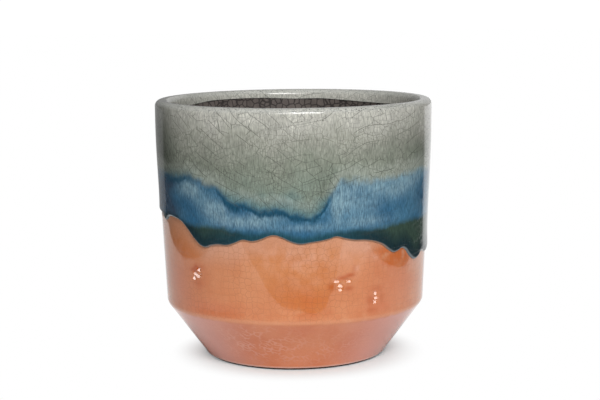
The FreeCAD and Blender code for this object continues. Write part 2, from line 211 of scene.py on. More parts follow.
# The fields that the finishes read, each with its patches.
APRICOT_PATCHES = {"dent": DENT_SHADES, "deep": DEEP_AND_REFLECTION_PATCHES, "ruddy": RUDDY_AND_LIGHT_PATCHES,
                   "streaks": PEACH_STREAKS, "scuffs": SCUFF_PATCHES}
RUN_PATCHES = {"pale": PALE_PATCHES, "navy": NAVY_PATCHES, "contour": CONTOUR_PATCHES,
               "shade": DARK_GLAZE_AND_SHADE_PATCHES, "teal": TEAL_PATCHES, "grey_rim": GREY_RIM_PATCHES}

# Edge bead of the apricot coat at the foot, by the way along the clay from the glazed edge.
BEAD_PROUD = 0.16
BEAD_PLACE = 0.9
BEAD_HALF_WIDTH = 0.8

# Above its middle a scoop ends at this share of its half height, and is steep over the last part.
SCOOP_END_SHARE = 1.4
SCOOP_STEEP_SHARE = 0.4

# A drip has its full extra thickness where the run line hangs so far below its two sides, both
# drops together, so many columns away. It keeps it for a little way up, and then fades.
DRIP_COLUMNS = 40
DRIP_DROP = 6.0
DRIP_KEEPS = 2.0
DRIP_FADE = 4.0

# The liner is even towards the floor's middle, and thin where the grey collar covers it.
LINER_EVEN = 20.0
LINER_COVERED = 6.0

# The apricot coat's mesh: columns, closer together near the dents, and rows, closer together in
# the band of the dents, with small gaps between stretches. The upper wall ends out of sight.
COAT_COLUMNS = 420
DENT_TURNS = (-45.6, 20.2, 35.6)
DENT_REACH = 5.0
DENT_COLUMN_GAP = 0.22
DENT_BAND = (32, 52)
UPPER_WALL = (53, 80)
BEVEL_START = 1.6
BEVEL_GAP = 0.6
CORNER_GAP = 0.4
DENT_BAND_GAP = 0.3
FOOT_ROW_SHARES = (0, 0.02, 0.06, 0.13, 0.24, 0.4, 0.6, 0.8, 1.0)
COAT_ROWS = {"bevel": 24, "corner": 14, "below the dents": 5, "dents": 80, "above the dents": 22}

# The upper coats' meshes. The rows of the roll's edge, in millimetres up, are drawn together where
# the roll has less room than they need, and the collar's edge has close rows too.
UPPER_COLUMNS = 1152
ROLL_EDGE_ROWS = (0, 0.03, 0.08, 0.15, 0.24, 0.36, 0.5, 0.66, 0.84, 1.05, 1.3, 1.6, 2.0, 2.5)
ROLL_EDGE_ROOM = 3.2
COLLAR_EDGE = 0.7
COLLAR_EDGE_SHARES = (0.75, 0.5, 0.3, 0.15, 0.05, 0)
UNDER_LIP_SHARES = (0.35, 0.7, 1)
LEVEL_BELOW_SHOULDER = 8.0
UPPER_ROWS = {"roll": 9, "blue": 15, "grey": 14, "shoulder": 12, "lip": 10, "back": 4}

# The liner's mesh: rows over the lip, down the wall, round the inner corner, down the slope,
# round the floor's corner and over the floor, and every so many of them on its back.
LINER_COLUMNS = 360
LINER_ROWS = (8, 24, 9, 6, 9, 10)
LINER_BACK_EVERY = 4

# Distance to the run line: how far up it is measured truly, and the close points that it takes.
NEAR_RUN = 9.0
RUN_POINT_GAP = 0.03
RUN_OVERLAP = 10

# How far above the roll and the blue the inside of the mouth counts, so that it stays grey.
FAR_INSIDE = 60.0

# Edges that turn by more degrees than this are shaded sharp.
SHARP_ANGLE = 50.0


def srgb(red, green, blue):
    """A colour seen on screen, 0 to 255, as the linear colour that a shader takes."""
    dark_end, dark_slope, lift, power = 0.04045, 12.92, 0.055, 2.4
    levels = []
    for level in (red / 255, green / 255, blue / 255):
        if level <= dark_end:
            levels.append(level / dark_slope)
        else:
            levels.append(((level + lift) / (1 + lift)) ** power)
    return (*levels, 1.0)


# The half section as a line with its normals

ARC_PARTS = 14


def half_section():
    """Samples along the clay's surface, from the glazed edge at the foot to the floor's middle."""
    lean = ((RIM_RADIUS - CORNER_INSET - GLAZED_EDGE_RADIUS)
            / (CORNER_HEIGHT - GLAZED_EDGE_HEIGHT))
    inner_radius = RIM_RADIUS - CORNER_INSET - CORNER_WALL
    inner_height = CORNER_HEIGHT + INNER_CORNER_RISE
    corners = (
        (GLAZED_EDGE_RADIUS, GLAZED_EDGE_HEIGHT, 0.0),
        (RIM_RADIUS - CORNER_INSET, CORNER_HEIGHT, CORNER_ROUNDING),
        (RIM_RADIUS, CLAY_HEIGHT - SHOULDER_DROP, SHOULDER_ROUNDING),
        (RIM_RADIUS, CLAY_HEIGHT, LIP_ROUNDING),
        (RIM_RADIUS - RIM_WALL, CLAY_HEIGHT, LIP_ROUNDING),
        (inner_radius, inner_height, INNER_ROUNDING),
        (inner_radius - (inner_height - FLOOR_HEIGHT) * lean, FLOOR_HEIGHT, FLOOR_ROUNDING),
        (0.0, FLOOR_HEIGHT, 0.0),
    )
    places = [np.array(corner[:2]) for corner in corners]
    headings = []
    for before, after in zip(places, places[1:]):
        headings.append(math.atan2(after[1] - before[1], after[0] - before[0]) % math.tau)
    samples = [(places[0], headings[0])]
    marks = [(0, 0)]
    for index in range(1, len(corners) - 1):
        into, out = headings[index - 1], headings[index]
        rounding = corners[index][2]
        side = 1 if out > into else -1
        away = rounding * math.tan(abs(out - into) / 2)
        start = places[index] - away * np.array((math.cos(into), math.sin(into)))
        centre = start + side * rounding * np.array((-math.sin(into), math.cos(into)))
        first = len(samples)
        for part in range(ARC_PARTS + 1):
            heading = into + (out - into) * part / ARC_PARTS
            spoke = np.array((math.sin(heading), -math.cos(heading)))
            samples.append((centre + side * rounding * spoke, heading))
        marks.append((first, len(samples) - 1))
    samples.append((places[-1], headings[-1]))
    marks.append((len(samples) - 1, len(samples) - 1))
    line = np.array([place for place, _ in samples])
    angles = np.array([heading for _, heading in samples]) - math.pi / 2
    along = np.concatenate(([0.0], np.cumsum(np.hypot(*np.diff(line, axis=0).T))))
    return along, line[:, 0], line[:, 1], angles, marks


ALONG, SECTION_RADIUS, SECTION_HEIGHT, SECTION_ANGLE, MARKS = half_section()
CORNER, SHOULDER, LIP_OUT, LIP_IN, INNER_CORNER, FLOOR_CORNER, FLOOR_MIDDLE = range(1, 8)


def station(corner, end):
    """How far along the section a rounding starts (end 0) or ends (end 1)."""
    return ALONG[MARKS[corner][end]]


LIP_CREST = (station(LIP_OUT, 1) + station(LIP_IN, 0)) / 2


def lay(along, thickness):
    """Radius and height of a layer of that thickness on the clay."""
    angle = np.interp(along, ALONG, SECTION_ANGLE)
    radius = np.interp(along, ALONG, SECTION_RADIUS) + thickness * np.cos(angle)
    height = np.interp(along, ALONG, SECTION_HEIGHT) + thickness * np.sin(angle)
    return radius, height


def outside_station(height):
    """How far along the section the outer wall reaches a height."""
    last = MARKS[LIP_OUT][0] + 1
    return np.interp(height, SECTION_HEIGHT[:last], ALONG[:last])


def inside_station(height):
    """The same for the inner wall under the lip."""
    first, last = MARKS[LIP_IN][1], MARKS[INNER_CORNER][0] + 1
    return np.interp(-height, -SECTION_HEIGHT[first:last], ALONG[first:last])


# Lines and patches round the pot

def line_height(shares, turns):
    """Height of a wavy line at each turn, a smooth curve through its points."""
    points = np.array(shares)
    order = np.argsort(points[:, 0] % FULL_TURN)
    turn = points[order, 0] % FULL_TURN
    share = points[order, 1]
    turn = np.concatenate((turn[-2:] - FULL_TURN, turn, turn[:2] + FULL_TURN))
    share = np.concatenate((share[-2:], share, share[:2]))
    gap = np.diff(turn)
    rise = np.diff(share) / gap
    slope = np.zeros_like(share)
    slope[1:-1] = (rise[:-1] * gap[1:] + rise[1:] * gap[:-1]) / (gap[1:] + gap[:-1])
    wanted = np.asarray(turns) % FULL_TURN
    k = np.clip(np.searchsorted(turn, wanted, side="right") - 1, 1, len(turn) - 3)
    t = (wanted - turn[k]) / gap[k]
    result = ((1 + 2 * t) * (1 - t) ** 2 * share[k] + t * (1 - t) ** 2 * gap[k] * slope[k]
              + t ** 2 * (3 - 2 * t) * share[k + 1] + t ** 2 * (t - 1) * gap[k] * slope[k + 1])
    return result * CLAY_HEIGHT


def turn_gap(turns, centre):
    """Signed difference of two turns, the short way round."""
    return (turns - centre + FULL_TURN / 2) % FULL_TURN - FULL_TURN / 2


def patches(turns, heights, table):
    """Soft round spots added up, at most 1."""
    total = np.zeros(np.broadcast(turns, heights).shape)
    for turn, height, half_turn, half_height, strength in table:
        across = turn_gap(turns, turn) / half_turn
        up = (heights - height) / half_height
        total += strength * np.exp(-(across ** 2 + up ** 2))
    return np.minimum(total, 1.0)


def patch_fields(turns, heights, tables):
    """Fields of a mesh, each from its table of patches."""
    return {name: patches(turns, heights, table) for name, table in tables.items()}


def arc_length(turns):
    """Millimetres round the wall for a turn, at the wall's mean radius."""
    return np.radians(turns) * (RIM_RADIUS - CORNER_INSET / 2)


def seeded_waves(count, round_counts, height_waves, seed):
    """Sine waves round the pot and up it: waves round, phase up, offset and share of each."""
    dice = np.random.default_rng(seed)
    waves = []
    for _ in range(count):
        waves.append((dice.integers(*round_counts), math.tau / dice.uniform(*height_waves),
                      dice.uniform(0, math.tau), dice.uniform(LEAST_WAVE_SHARE, 1.0)))
    return waves


HAND_WAVES = seeded_waves(count=7, round_counts=(2, 7), height_waves=(70, 160), seed=WAVE_SEED)
RIPPLE_WAVES = seeded_waves(count=26, round_counts=(12, 60), height_waves=(9, 40),
                            seed=WAVE_SEED + 1)


def wave(turns, heights, waves):
    """Uneven surface between about -1 and 1."""
    total = np.zeros(np.broadcast(turns, heights).shape)
    for around, up, offset, share in waves:
        total += share * np.sin(around * np.radians(turns) + up * heights + offset)
    return total / math.sqrt(len(waves))


def unevenness(turns, heights):
    """What the hand and the fire leave on a coat, never proud of its full thickness."""
    slow = wave(turns, heights, HAND_WAVES)
    quick = wave(turns, heights, RIPPLE_WAVES)
    return HAND_WAVE * (np.tanh(slow) - 1) / 2 + FIRE_RIPPLE * quick - 2 * FIRE_RIPPLE


def rolled(distance, width):
    """Share of its full thickness that a coat has near its rolled edge."""
    near = 1 - np.clip(distance / width, 0, 1)
    return np.sqrt(1 - near ** 2)


def dents(turns, heights):
    """Depth of the scoops: an even slope to the deepest place, then steeply out again."""
    total = np.zeros(np.broadcast(turns, heights).shape)
    for turn, height, wide, tall, slant in SCOOPS:
        x = arc_length(turn_gap(turns, turn))
        y = heights - height
        cos, sin = math.cos(math.radians(slant)), math.sin(math.radians(slant))
        across = (x * cos + y * sin) / wide
        up = (y * cos - x * sin) / tall
        steep = np.clip((SCOOP_END_SHARE - up) / SCOOP_STEEP_SHARE, 0, 1)
        scoop = np.clip(up + 1, 0, 2) * steep * np.exp(-across ** 4)
        total = np.maximum(total, DENT_SLOPE * tall * scoop)
    return total


# Meshes

def put_in_scene(name, data):
    """A new object with that mesh, light or camera."""
    made = bpy.data.objects.new(name, data)
    bpy.context.scene.collection.objects.link(made)
    return made


def full_round(count):
    """Turns all round the pot, evenly spaced, from the back."""
    return np.arange(count) * FULL_TURN / count - FULL_TURN / 2


def round_the_pot(radius, height, turns):
    """Places in metres for radii and heights at those turns."""
    x = radius * np.sin(np.radians(turns)) * MM
    y = -radius * np.cos(np.radians(turns)) * MM
    return np.stack((x, y, height * MM), axis=-1)


def make_skin(name, radius, height, turns, fields, poles=()):
    """A closed skin of rows round the pot. The last row joins the first, and a pole is one point."""
    rows, columns = radius.shape
    grid = round_the_pot(radius, height, turns)
    index = np.arange(rows * columns).reshape(rows, columns)
    for pole in poles:
        index[pole] = index[pole, 0]
    faces = []
    for row in range(rows):
        following = (row + 1) % rows
        if row in poles and following in poles:
            continue
        here, there = index[row], index[following]
        quads = np.stack((here, np.roll(here, -1), np.roll(there, -1), there), axis=-1)
        if row in poles:
            quads = quads[:, 1:]
        elif following in poles:
            quads = quads[:, :3]
        faces.extend(quads.tolist())
    kept = np.unique(index)
    renumber = np.zeros(rows * columns, int)
    renumber[kept] = np.arange(len(kept))
    faces = [[int(renumber[corner]) for corner in face] for face in faces]
    mesh = bpy.data.meshes.new(name)
    mesh.from_pydata(grid.reshape(-1, 3)[kept].tolist(), [], faces)
    fields["from_front"] = arc_length(turn_gap(turns, 0.0))
    fields["from_back"] = arc_length(turn_gap(turns, FULL_TURN / 2))
    for field_name, numbers in fields.items():
        attribute = mesh.attributes.new(field_name, "FLOAT", "POINT")
        values = np.broadcast_to(numbers, (rows, columns)).reshape(-1)[kept]
        attribute.data.foreach_set("value", values.astype(np.float32))
    mesh.shade_smooth()
    mesh.set_sharp_from_angle(angle=math.radians(SHARP_ANGLE))
    return put_in_scene(name, mesh)


def closer_turns(turns, places, reach, gap):
    """Those turns, closer together near some places."""
    turns = list(turns)
    for place in places:
        turns = [turn for turn in turns if abs(turn - place) > reach]
        turns.extend(np.arange(place - reach, place + reach + gap / 2, gap))
    return np.array(sorted(turns))


def outside_rows():
    """Stations up the outside, closest at the rolled foot and over the dents."""
    dents_low, dents_high = outside_station(DENT_BAND)
    wall_low, wall_high = outside_station(UPPER_WALL)
    return np.concatenate((
        FOOT_ROLL * np.array(FOOT_ROW_SHARES),
        np.linspace(BEVEL_START, station(CORNER, 0) - BEVEL_GAP, COAT_ROWS["bevel"]),
        np.linspace(station(CORNER, 0), station(CORNER, 1), COAT_ROWS["corner"]),
        np.linspace(station(CORNER, 1) + CORNER_GAP, dents_low - DENT_BAND_GAP,
                    COAT_ROWS["below the dents"]),
        np.linspace(dents_low, dents_high, COAT_ROWS["dents"]),
        np.linspace(wall_low, wall_high, COAT_ROWS["above the dents"]),
        (station(SHOULDER, 1), station(LIP_OUT, 0), LIP_CREST),
    ))[:, None]


def make_outside_coat():
    """The apricot coat, from its bead at the foot to the middle of the lip, with its dents."""
    turns = closer_turns(full_round(COAT_COLUMNS), DENT_TURNS, DENT_REACH, DENT_COLUMN_GAP)
    outer = outside_rows()
    inner = np.array((LIP_CREST, station(LIP_OUT, 0), station(SHOULDER, 0), station(CORNER, 1),
                      station(CORNER, 0)))[:, None]
    _, heights = lay(outer, 0 * turns)
    bead = BEAD_PROUD * np.exp(-((outer - BEAD_PLACE) / BEAD_HALF_WIDTH) ** 2)
    coat = (FIRST_COAT + unevenness(turns, heights) + bead) * rolled(outer, FOOT_ROLL)
    coat = np.maximum(coat - dents(turns, heights), np.minimum(coat, SEAT))
    covered = outer > outside_station(UPPER_WALL[1])
    coat = np.where(covered, FIRST_COAT - 2 * SEAT, coat)
    outer_radius, outer_height = lay(outer, coat)
    inner_radius, inner_height = lay(inner, 0 * turns)
    radius = np.vstack((outer_radius, inner_radius))
    height = np.vstack((outer_height, inner_height))
    run = line_height(RUN_LINE_SHARES, turns)
    fields = {"height": height, "along": np.vstack((outer, inner)), "below_run": run - height}
    fields.update(patch_fields(turns, height, APRICOT_PATCHES))
    return make_skin("apricot_coat", radius, height, turns, fields)


def run_edge_tree():
    """The run line as close points on the unrolled wall, for the distance to it."""
    half = FULL_TURN / 2 + RUN_OVERLAP
    fine = np.arange(-half, half, RUN_POINT_GAP)
    heights = line_height(RUN_LINE_SHARES, fine)
    tree = kdtree.KDTree(len(fine))
    for number, (x, y) in enumerate(zip(arc_length(fine), heights)):
        tree.insert((x, y, 0.0), number)
    tree.balance()
    return tree


class UpperGlaze:
    """What the grey, blue and green coats share: their lines, thickness and fields."""

    def __init__(self):
        self.turns = full_round(UPPER_COLUMNS)
        self.run = line_height(RUN_LINE_SHARES, self.turns)
        self.pool = line_height(POOL_TOP_SHARES, self.turns)
        blue = line_height(BLUE_TOP_SHARES, self.turns)
        self.at_run = outside_station(self.run)
        self.at_pool = outside_station(self.pool)
        self.at_blue = outside_station(blue)
        self.run_edge = run_edge_tree()
        self.blue_colour = blue.copy()
        for turn, reach, half_turn in BLUE_BLEEDS:
            away = turn_gap(self.turns, turn) / half_turn
            self.blue_colour += reach * np.exp(-away ** 2)
        beside = np.roll(self.run, DRIP_COLUMNS) + np.roll(self.run, -DRIP_COLUMNS)
        self.drip = np.clip((beside - 2 * self.run) / DRIP_DROP, 0, 1)

    def rows(self, first, last, shares):
        """Stations between two lines, as shares of the way from one to the other."""
        return first + (last - first) * np.asarray(shares)[:, None]

    def evenly(self, first, last, stretch):
        """Stations between two lines, evenly spaced."""
        return self.rows(first, last, np.linspace(0, 1, UPPER_ROWS[stretch]))

    def above_run(self, along):
        """True distance from the run line over the wall, for places close to it."""
        distance = along - self.at_run
        for row in distance:
            if row.min() > NEAR_RUN:
                break
            for column in np.flatnonzero((row > 0) & (row <= NEAR_RUN)):
                place = (arc_length(self.turns[column]), self.run[column] + row[column], 0.0)
                row[column] = self.run_edge.find(place)[2]
        return distance

    def thickness(self, along, near_run):
        """Full coat over the clay, thicker where it pooled, rolled over at its edge."""
        _, heights = lay(along, 0.0)
        pooled = POOLED_EXTRA * np.exp(-np.maximum(near_run, 0) / POOLED_FADE)
        past = np.maximum(near_run - DRIP_KEEPS, 0)
        dripped = DRIP_EXTRA * self.drip * np.exp(-(past / DRIP_FADE) ** 2)
        full = TOP_COAT + pooled + dripped + unevenness(self.turns, heights)
        return FIRST_COAT - SEAT + (full + SEAT) * rolled(near_run, RUN_ROLL)

    def fields(self, along, height, near_run):
        """What the glaze's colour follows."""
        inside = along > LIP_CREST
        fields = {
            "height": height,
            "along": along,
            "above_run": near_run,
            "above_pool": np.where(inside, FAR_INSIDE, height - self.pool),
            "above_blue": np.where(inside, FAR_INSIDE, height - self.blue_colour),
        }
        fields.update(patch_fields(self.turns, height, RUN_PATCHES))
        return fields

    def make(self, name, top, near_run, back):
        """One coat from its rows of stations on top, and those on its back in the other order."""
        top_radius, top_height = lay(top, self.thickness(top, near_run))
        back_radius, back_height = lay(back, FIRST_COAT - SEAT)
        along = np.vstack((top, back))
        height = np.vstack((top_height, back_height))
        near = np.vstack((near_run, back - self.at_run))
        return make_skin(name, np.vstack((top_radius, back_radius)), height, self.turns,
                         self.fields(along, height, near))


def make_green_roll(glaze):
    """The dark green roll in which the glaze pooled, with close rows where its edge rolls over."""
    gap = glaze.at_pool - glaze.at_run
    edge = np.array(ROLL_EDGE_ROWS)[:, None] * np.minimum(1, gap / ROLL_EDGE_ROOM)
    last = edge[-1]
    rest = np.linspace(0, 1, UPPER_ROWS["roll"])[1:, None]
    top = np.vstack((glaze.at_run + edge, glaze.at_run + last + (gap - last) * rest))
    back = glaze.evenly(glaze.at_pool, glaze.at_run, "back")[:-1]
    return glaze.make("green_drip_coat", top, glaze.above_run(top), back)


def make_blue_band(glaze):
    """The streaky blue band above the roll."""
    top = glaze.evenly(glaze.at_pool, glaze.at_blue, "blue")
    back = glaze.evenly(glaze.at_blue, glaze.at_pool, "back")
    return glaze.make("blue_band_coat", top, glaze.above_run(top), back)


def make_grey_coat(glaze):
    """The grey upper part, over the lip and down to its collar inside."""
    wide = 0 * glaze.turns
    level = outside_station(CLAY_HEIGHT - SHOULDER_DROP - LEVEL_BELOW_SHOULDER)
    out_start, out_end, in_start, in_end = (
        station(LIP_OUT, 0), station(LIP_OUT, 1), station(LIP_IN, 0), station(LIP_IN, 1))
    collar = inside_station(line_height(COLLAR_LINE_SHARES, glaze.turns))
    over_lip = np.concatenate((
        np.linspace(level, out_start, UPPER_ROWS["shoulder"])[1:-1],
        np.linspace(out_start, out_end, UPPER_ROWS["lip"]),
        np.linspace(in_start, in_end, UPPER_ROWS["lip"]),
    ))[:, None] + wide
    top = np.vstack((glaze.evenly(glaze.at_blue, level, "grey"), over_lip,
                     glaze.rows(in_end, collar - COLLAR_EDGE, UNDER_LIP_SHARES),
                     collar - COLLAR_EDGE * np.array(COLLAR_EDGE_SHARES)[:, None]))
    under_lip = np.array((in_end, in_start, out_end, out_start, level))[:, None] + wide
    back = np.vstack((collar, under_lip, glaze.at_blue))
    return glaze.make("grey_lip_coat", top, np.maximum(top - glaze.at_run, 0), back)


def make_liner():
    """The dark coat inside, from the middle of the lip down the wall and over the floor."""
    turns = full_round(LINER_COLUMNS)
    ends = (LIP_CREST, station(LIP_IN, 1), station(INNER_CORNER, 0), station(INNER_CORNER, 1),
            station(FLOOR_CORNER, 0), station(FLOOR_CORNER, 1), station(FLOOR_MIDDLE, 0))
    stations = [LIP_CREST]
    for start, end, rows in zip(ends, ends[1:], LINER_ROWS):
        stations.extend(np.linspace(start, end, rows)[1:])
    stations = np.array(stations)[:, None]
    _, heights = lay(stations, 0.0)
    to_middle = np.clip((station(FLOOR_MIDDLE, 0) - stations) / LINER_EVEN, 0, 1)
    under_grey = stations < inside_station(CLAY_HEIGHT - LINER_COVERED)
    coat = FIRST_COAT + unevenness(turns, heights) * to_middle
    coat = np.where(under_grey, FIRST_COAT - 2 * SEAT, coat)
    top_radius, top_height = lay(stations, coat)
    back = np.vstack((stations[:0:-LINER_BACK_EVERY], stations[:1]))
    back_radius, back_height = lay(back, 0 * turns)
    radius = np.vstack((top_radius, back_radius))
    height = np.vstack((top_height, back_height))
    pole = len(stations)
    return make_skin("brown_liner_coat", radius, height, turns, {"height": height},
                     poles=(pole - 1, pole))


# Specks under the lip

# They crowd upwards between these heights, on a band that ends short of the lip's crest.
SPECK_BAND = (121.0, 128.6)
SPECK_BAND_SHORT = 0.9
SPECK_ROWS = 12
SPECK_COLUMNS = 288
SPECK_SIZE = 0.6
SPECKS_PER_AREA = 1.0
SPECK_SEED = 4
LEAST_SPECK_SHARE = 0.45
SPECK_FLATNESS_SHARE = 0.25
SPECKS_ROUND_SHARE = 0.6
SPECKS_LEFT_SHARE = 0.4


def lip_band():
    """The strip of glaze under the lip in which the specks lie, thickest towards the crest."""
    turns = np.arange(SPECK_COLUMNS) * FULL_TURN / SPECK_COLUMNS
    low, high = SPECK_BAND
    rows = np.linspace(outside_station(low), station(LIP_OUT, 1) - SPECK_BAND_SHORT, SPECK_ROWS)
    radius, height = lay(rows[:, None], FIRST_COAT + TOP_COAT - HAND_WAVE + 0 * turns)
    faces = []
    for row in range(SPECK_ROWS - 1):
        here, there = row * SPECK_COLUMNS, (row + 1) * SPECK_COLUMNS
        for column in range(SPECK_COLUMNS):
            right = (column + 1) % SPECK_COLUMNS
            faces.append((here + column, here + right, there + right, there + column))
    mesh = bpy.data.meshes.new("lip_specks")
    mesh.from_pydata(round_the_pot(radius, height, turns).reshape(-1, 3).tolist(), [], faces)
    crowd = np.clip((height - low) / (high - low), 0, 1) ** 2
    crowd = crowd * (SPECKS_ROUND_SHARE - SPECKS_LEFT_SHARE * np.sin(np.radians(turns)))
    density = mesh.attributes.new("density", "FLOAT", "POINT")
    density.data.foreach_set("value", crowd.reshape(-1).astype(np.float32))
    return mesh


def speck_tree(finish):
    """Geometry Nodes that scatter flattened beads over a band."""
    tree = bpy.data.node_groups.new("scatter specks", "GeometryNodeTree")
    sides = tree.interface
    sides.new_socket("Band", in_out="INPUT", socket_type="NodeSocketGeometry")
    for name, kind in (("Speck Size", "NodeSocketFloat"), ("Specks Per Area", "NodeSocketFloat"),
                       ("Seed", "NodeSocketInt")):
        sides.new_socket(name, in_out="INPUT", socket_type=kind)
    sides.new_socket("Specks", in_out="OUTPUT", socket_type="NodeSocketGeometry")
    given = add(tree, "NodeGroupInput").outputs
    crowd = add(tree, "GeometryNodeInputNamedAttribute", {"data_type": "FLOAT"},
                {"Name": "density"}).outputs[0]
    scatter = add(tree, "GeometryNodeDistributePointsOnFaces", None, {
        "Mesh": given["Band"], "Seed": given["Seed"],
        "Density": calc(tree, "MULTIPLY", crowd, given["Specks Per Area"])})
    bead = add(tree, "GeometryNodeMeshIcoSphere", None,
               {"Radius": given["Speck Size"], "Subdivisions": 1})
    size = add(tree, "FunctionNodeRandomValue", {"data_type": "FLOAT"},
               {"Min": LEAST_SPECK_SHARE, "Max": 1.0, "Seed": given["Seed"]}).outputs[1]
    flat = add(tree, "ShaderNodeCombineXYZ", None,
               {0: size, 1: size, 2: times(tree, size, SPECK_FLATNESS_SHARE)}).outputs[0]
    beads = add(tree, "GeometryNodeInstanceOnPoints", None, {
        "Points": scatter.outputs["Points"], "Instance": bead.outputs["Mesh"],
        "Rotation": scatter.outputs["Rotation"], "Scale": flat})
    real = add(tree, "GeometryNodeRealizeInstances", None, {"Geometry": beads.outputs[0]})
    dressed = add(tree, "GeometryNodeSetMaterial", None,
                  {"Geometry": real.outputs[0], "Material": finish})
    shown = add(tree, "NodeGroupOutput")
    tree.links.new(dressed.outputs[0], shown.inputs[0])
    return tree


def make_lip_specks(finish):
    """Small dark specks in the glaze under the lip, as one plain mesh."""
    band = put_in_scene("lip_band", lip_band())
    tree = speck_tree(finish)
    modifier = band.modifiers.new("specks", "NODES")
    modifier.node_group = tree
    values = {"Speck Size": SPECK_SIZE / 2 * MM, "Specks Per Area": SPECKS_PER_AREA / MM ** 2,
              "Seed": SPECK_SEED}
    for socket in tree.interface.items_tree:
        if socket.name in values:
            modifier[socket.identifier] = values[socket.name]
    ready = band.evaluated_get(bpy.context.evaluated_depsgraph_get())
    mesh = bpy.data.meshes.new_from_object(ready)
    bpy.data.objects.remove(band)
    mesh.name = "lip_specks"
    mesh.shade_smooth()
    return put_in_scene("lip_specks", mesh)


# Nodes of a finish

# Depth in the pot, from its axis to the back, over which the back's pattern takes over, out of
# sight from the front.
BACK_TAKES_OVER = (38.0, 56.0)
SOFT_LINE_SHARE = 0.25
LONG_CRACK_BEND = 42.0
LONG_CRACK_SWAY_SHARE = 2.6
GLAZE_GLOSS = 1.5
SWELL_SIZE = 7.0
SWELL_DEPTH = 0.012
FUR_DEPTH = 0.012


def feed(tree, value, socket):
    """Links a socket, or sets it to a number or colour."""
    if isinstance(value, bpy.types.NodeSocket):
        tree.links.new(value, socket)
    else:
        socket.default_value = value


def add(tree, kind, settings=None, inputs=None):
    """A node with its settings and inputs."""
    made = tree.nodes.new(kind)
    for key, value in (settings or {}).items():
        setattr(made, key, value)
    for key, value in (inputs or {}).items():
        feed(tree, value, made.inputs[key])
    return made


def calc(tree, operation, first, second=0.0):
    """One sum."""
    return add(tree, "ShaderNodeMath", {"operation": operation}, {0: first, 1: second}).outputs[0]


def times(tree, *factors):
    """Numbers multiplied."""
    product = factors[0]
    for factor in factors[1:]:
        product = calc(tree, "MULTIPLY", product, factor)
    return product


def plus(tree, *terms):
    """Numbers added."""
    total = terms[0]
    for term in terms[1:]:
        total = calc(tree, "ADD", total, term)
    return total


def rest_of(tree, share):
    """What a share leaves of 1."""
    return calc(tree, "SUBTRACT", 1.0, share)


def off_middle(tree, noise, reach):
    """A noise from 0 to 1 as a push to either side, of half that reach."""
    return times(tree, plus(tree, noise, -0.5), reach)


def step(tree, value, low, high):
    """0 at low, 1 at high, smooth between. Low may be above high."""
    made = add(tree, "ShaderNodeMapRange", {"interpolation_type": "SMOOTHSTEP"},
               {"Value": value, "From Min": low, "From Max": high})
    return made.outputs[0]


def spread(tree, value, low, high, least=0.0, most=1.0):
    """A number from low to high spread evenly from least to most."""
    made = add(tree, "ShaderNodeMapRange", None, {"Value": value, "From Min": low,
                                                  "From Max": high, "To Min": least,
                                                  "To Max": most})
    return made.outputs[0]


def fade(tree, share, first, second):
    """A number that goes from the first to the second."""
    return add(tree, "ShaderNodeMix", None, {0: share, 2: first, 3: second}).outputs[0]


def blend(tree, share, first, second, way="MIX"):
    """A share of the second colour laid over the first."""
    made = add(tree, "ShaderNodeMix", {"data_type": "RGBA", "blend_type": way},
               {0: share, 6: first, 7: second})
    return made.outputs[2]


def over(tree, under, layer, *factors):
    """A layer, a colour and its share, laid over a colour where its factors are 1."""
    colour, share = layer
    return blend(tree, times(tree, *factors, share), under, colour)


def ramp(tree, value, stops):
    """A colour that follows a number from 0 to 1."""
    made = add(tree, "ShaderNodeValToRGB", None, {0: value})
    band = made.color_ramp
    while len(band.elements) < len(stops):
        band.elements.new(1.0)
    for element, (position, colour) in zip(band.elements, stops):
        element.position = position
        element.color = colour
    return made.outputs[0]


def shaded(tree, colour, lightness):
    """A colour made lighter or darker."""
    grey = add(tree, "ShaderNodeCombineColor", None, {0: lightness, 1: lightness, 2: lightness})
    return blend(tree, 1.0, colour, grey.outputs[0], "MULTIPLY")


def field(tree, name):
    """A number that the mesh carries."""
    return add(tree, "ShaderNodeAttribute", {"attribute_name": name}).outputs["Fac"]


def vectors(tree, operation, first, second):
    """One sum on two places."""
    made = add(tree, "ShaderNodeVectorMath", {"operation": operation}, {0: first, 1: second})
    return made.outputs[0]


def length_of(tree, place):
    """How far a place is from the origin."""
    made = add(tree, "ShaderNodeVectorMath", {"operation": "LENGTH"}, {0: place})
    return made.outputs["Value"]


def parts_of(tree, place):
    """The three coordinates of a place."""
    return add(tree, "ShaderNodeSeparateXYZ", None, {0: place}).outputs


def place_in_mm(tree):
    """Object coordinates in millimetres."""
    where = add(tree, "ShaderNodeTexCoord").outputs["Object"]
    return vectors(tree, "MULTIPLY", where, (1 / MM,) * 3)


def grain(tree, place, size, detail=2.0, roughness=0.5):
    """Soft noise from 0 to 1 whose lumps are about that many millimetres across."""
    made = add(tree, "ShaderNodeTexNoise", None,
               {"Vector": place, "Scale": 1 / size, "Detail": detail, "Roughness": roughness})
    return made.outputs[0]


def drawn_out(tree, place, share):
    """A place for noise that runs up and down: heights count for that share only."""
    return vectors(tree, "MULTIPLY", place, (1.0, 1.0, share))


def wander(tree, place, size, amount):
    """A push of up to about half that amount, which changes over that size."""
    push = add(tree, "ShaderNodeTexNoise", None, {"Vector": place, "Scale": 1 / size}).outputs[1]
    return vectors(tree, "MULTIPLY", vectors(tree, "SUBTRACT", push, (0.5,) * 3), (amount,) * 3)


def unrolled(tree, place, push):
    """The wall laid flat from the front and from the back, and where the back's takes over."""
    along = field(tree, "along")
    flats = []
    for name in ("from_front", "from_back"):
        flat = add(tree, "ShaderNodeCombineXYZ", None, {0: field(tree, name), 1: along})
        flats.append(vectors(tree, "ADD", flat.outputs[0], push))
    depth = parts_of(tree, place)[1]
    return flats[0], flats[1], step(tree, depth, *BACK_TAKES_OVER)


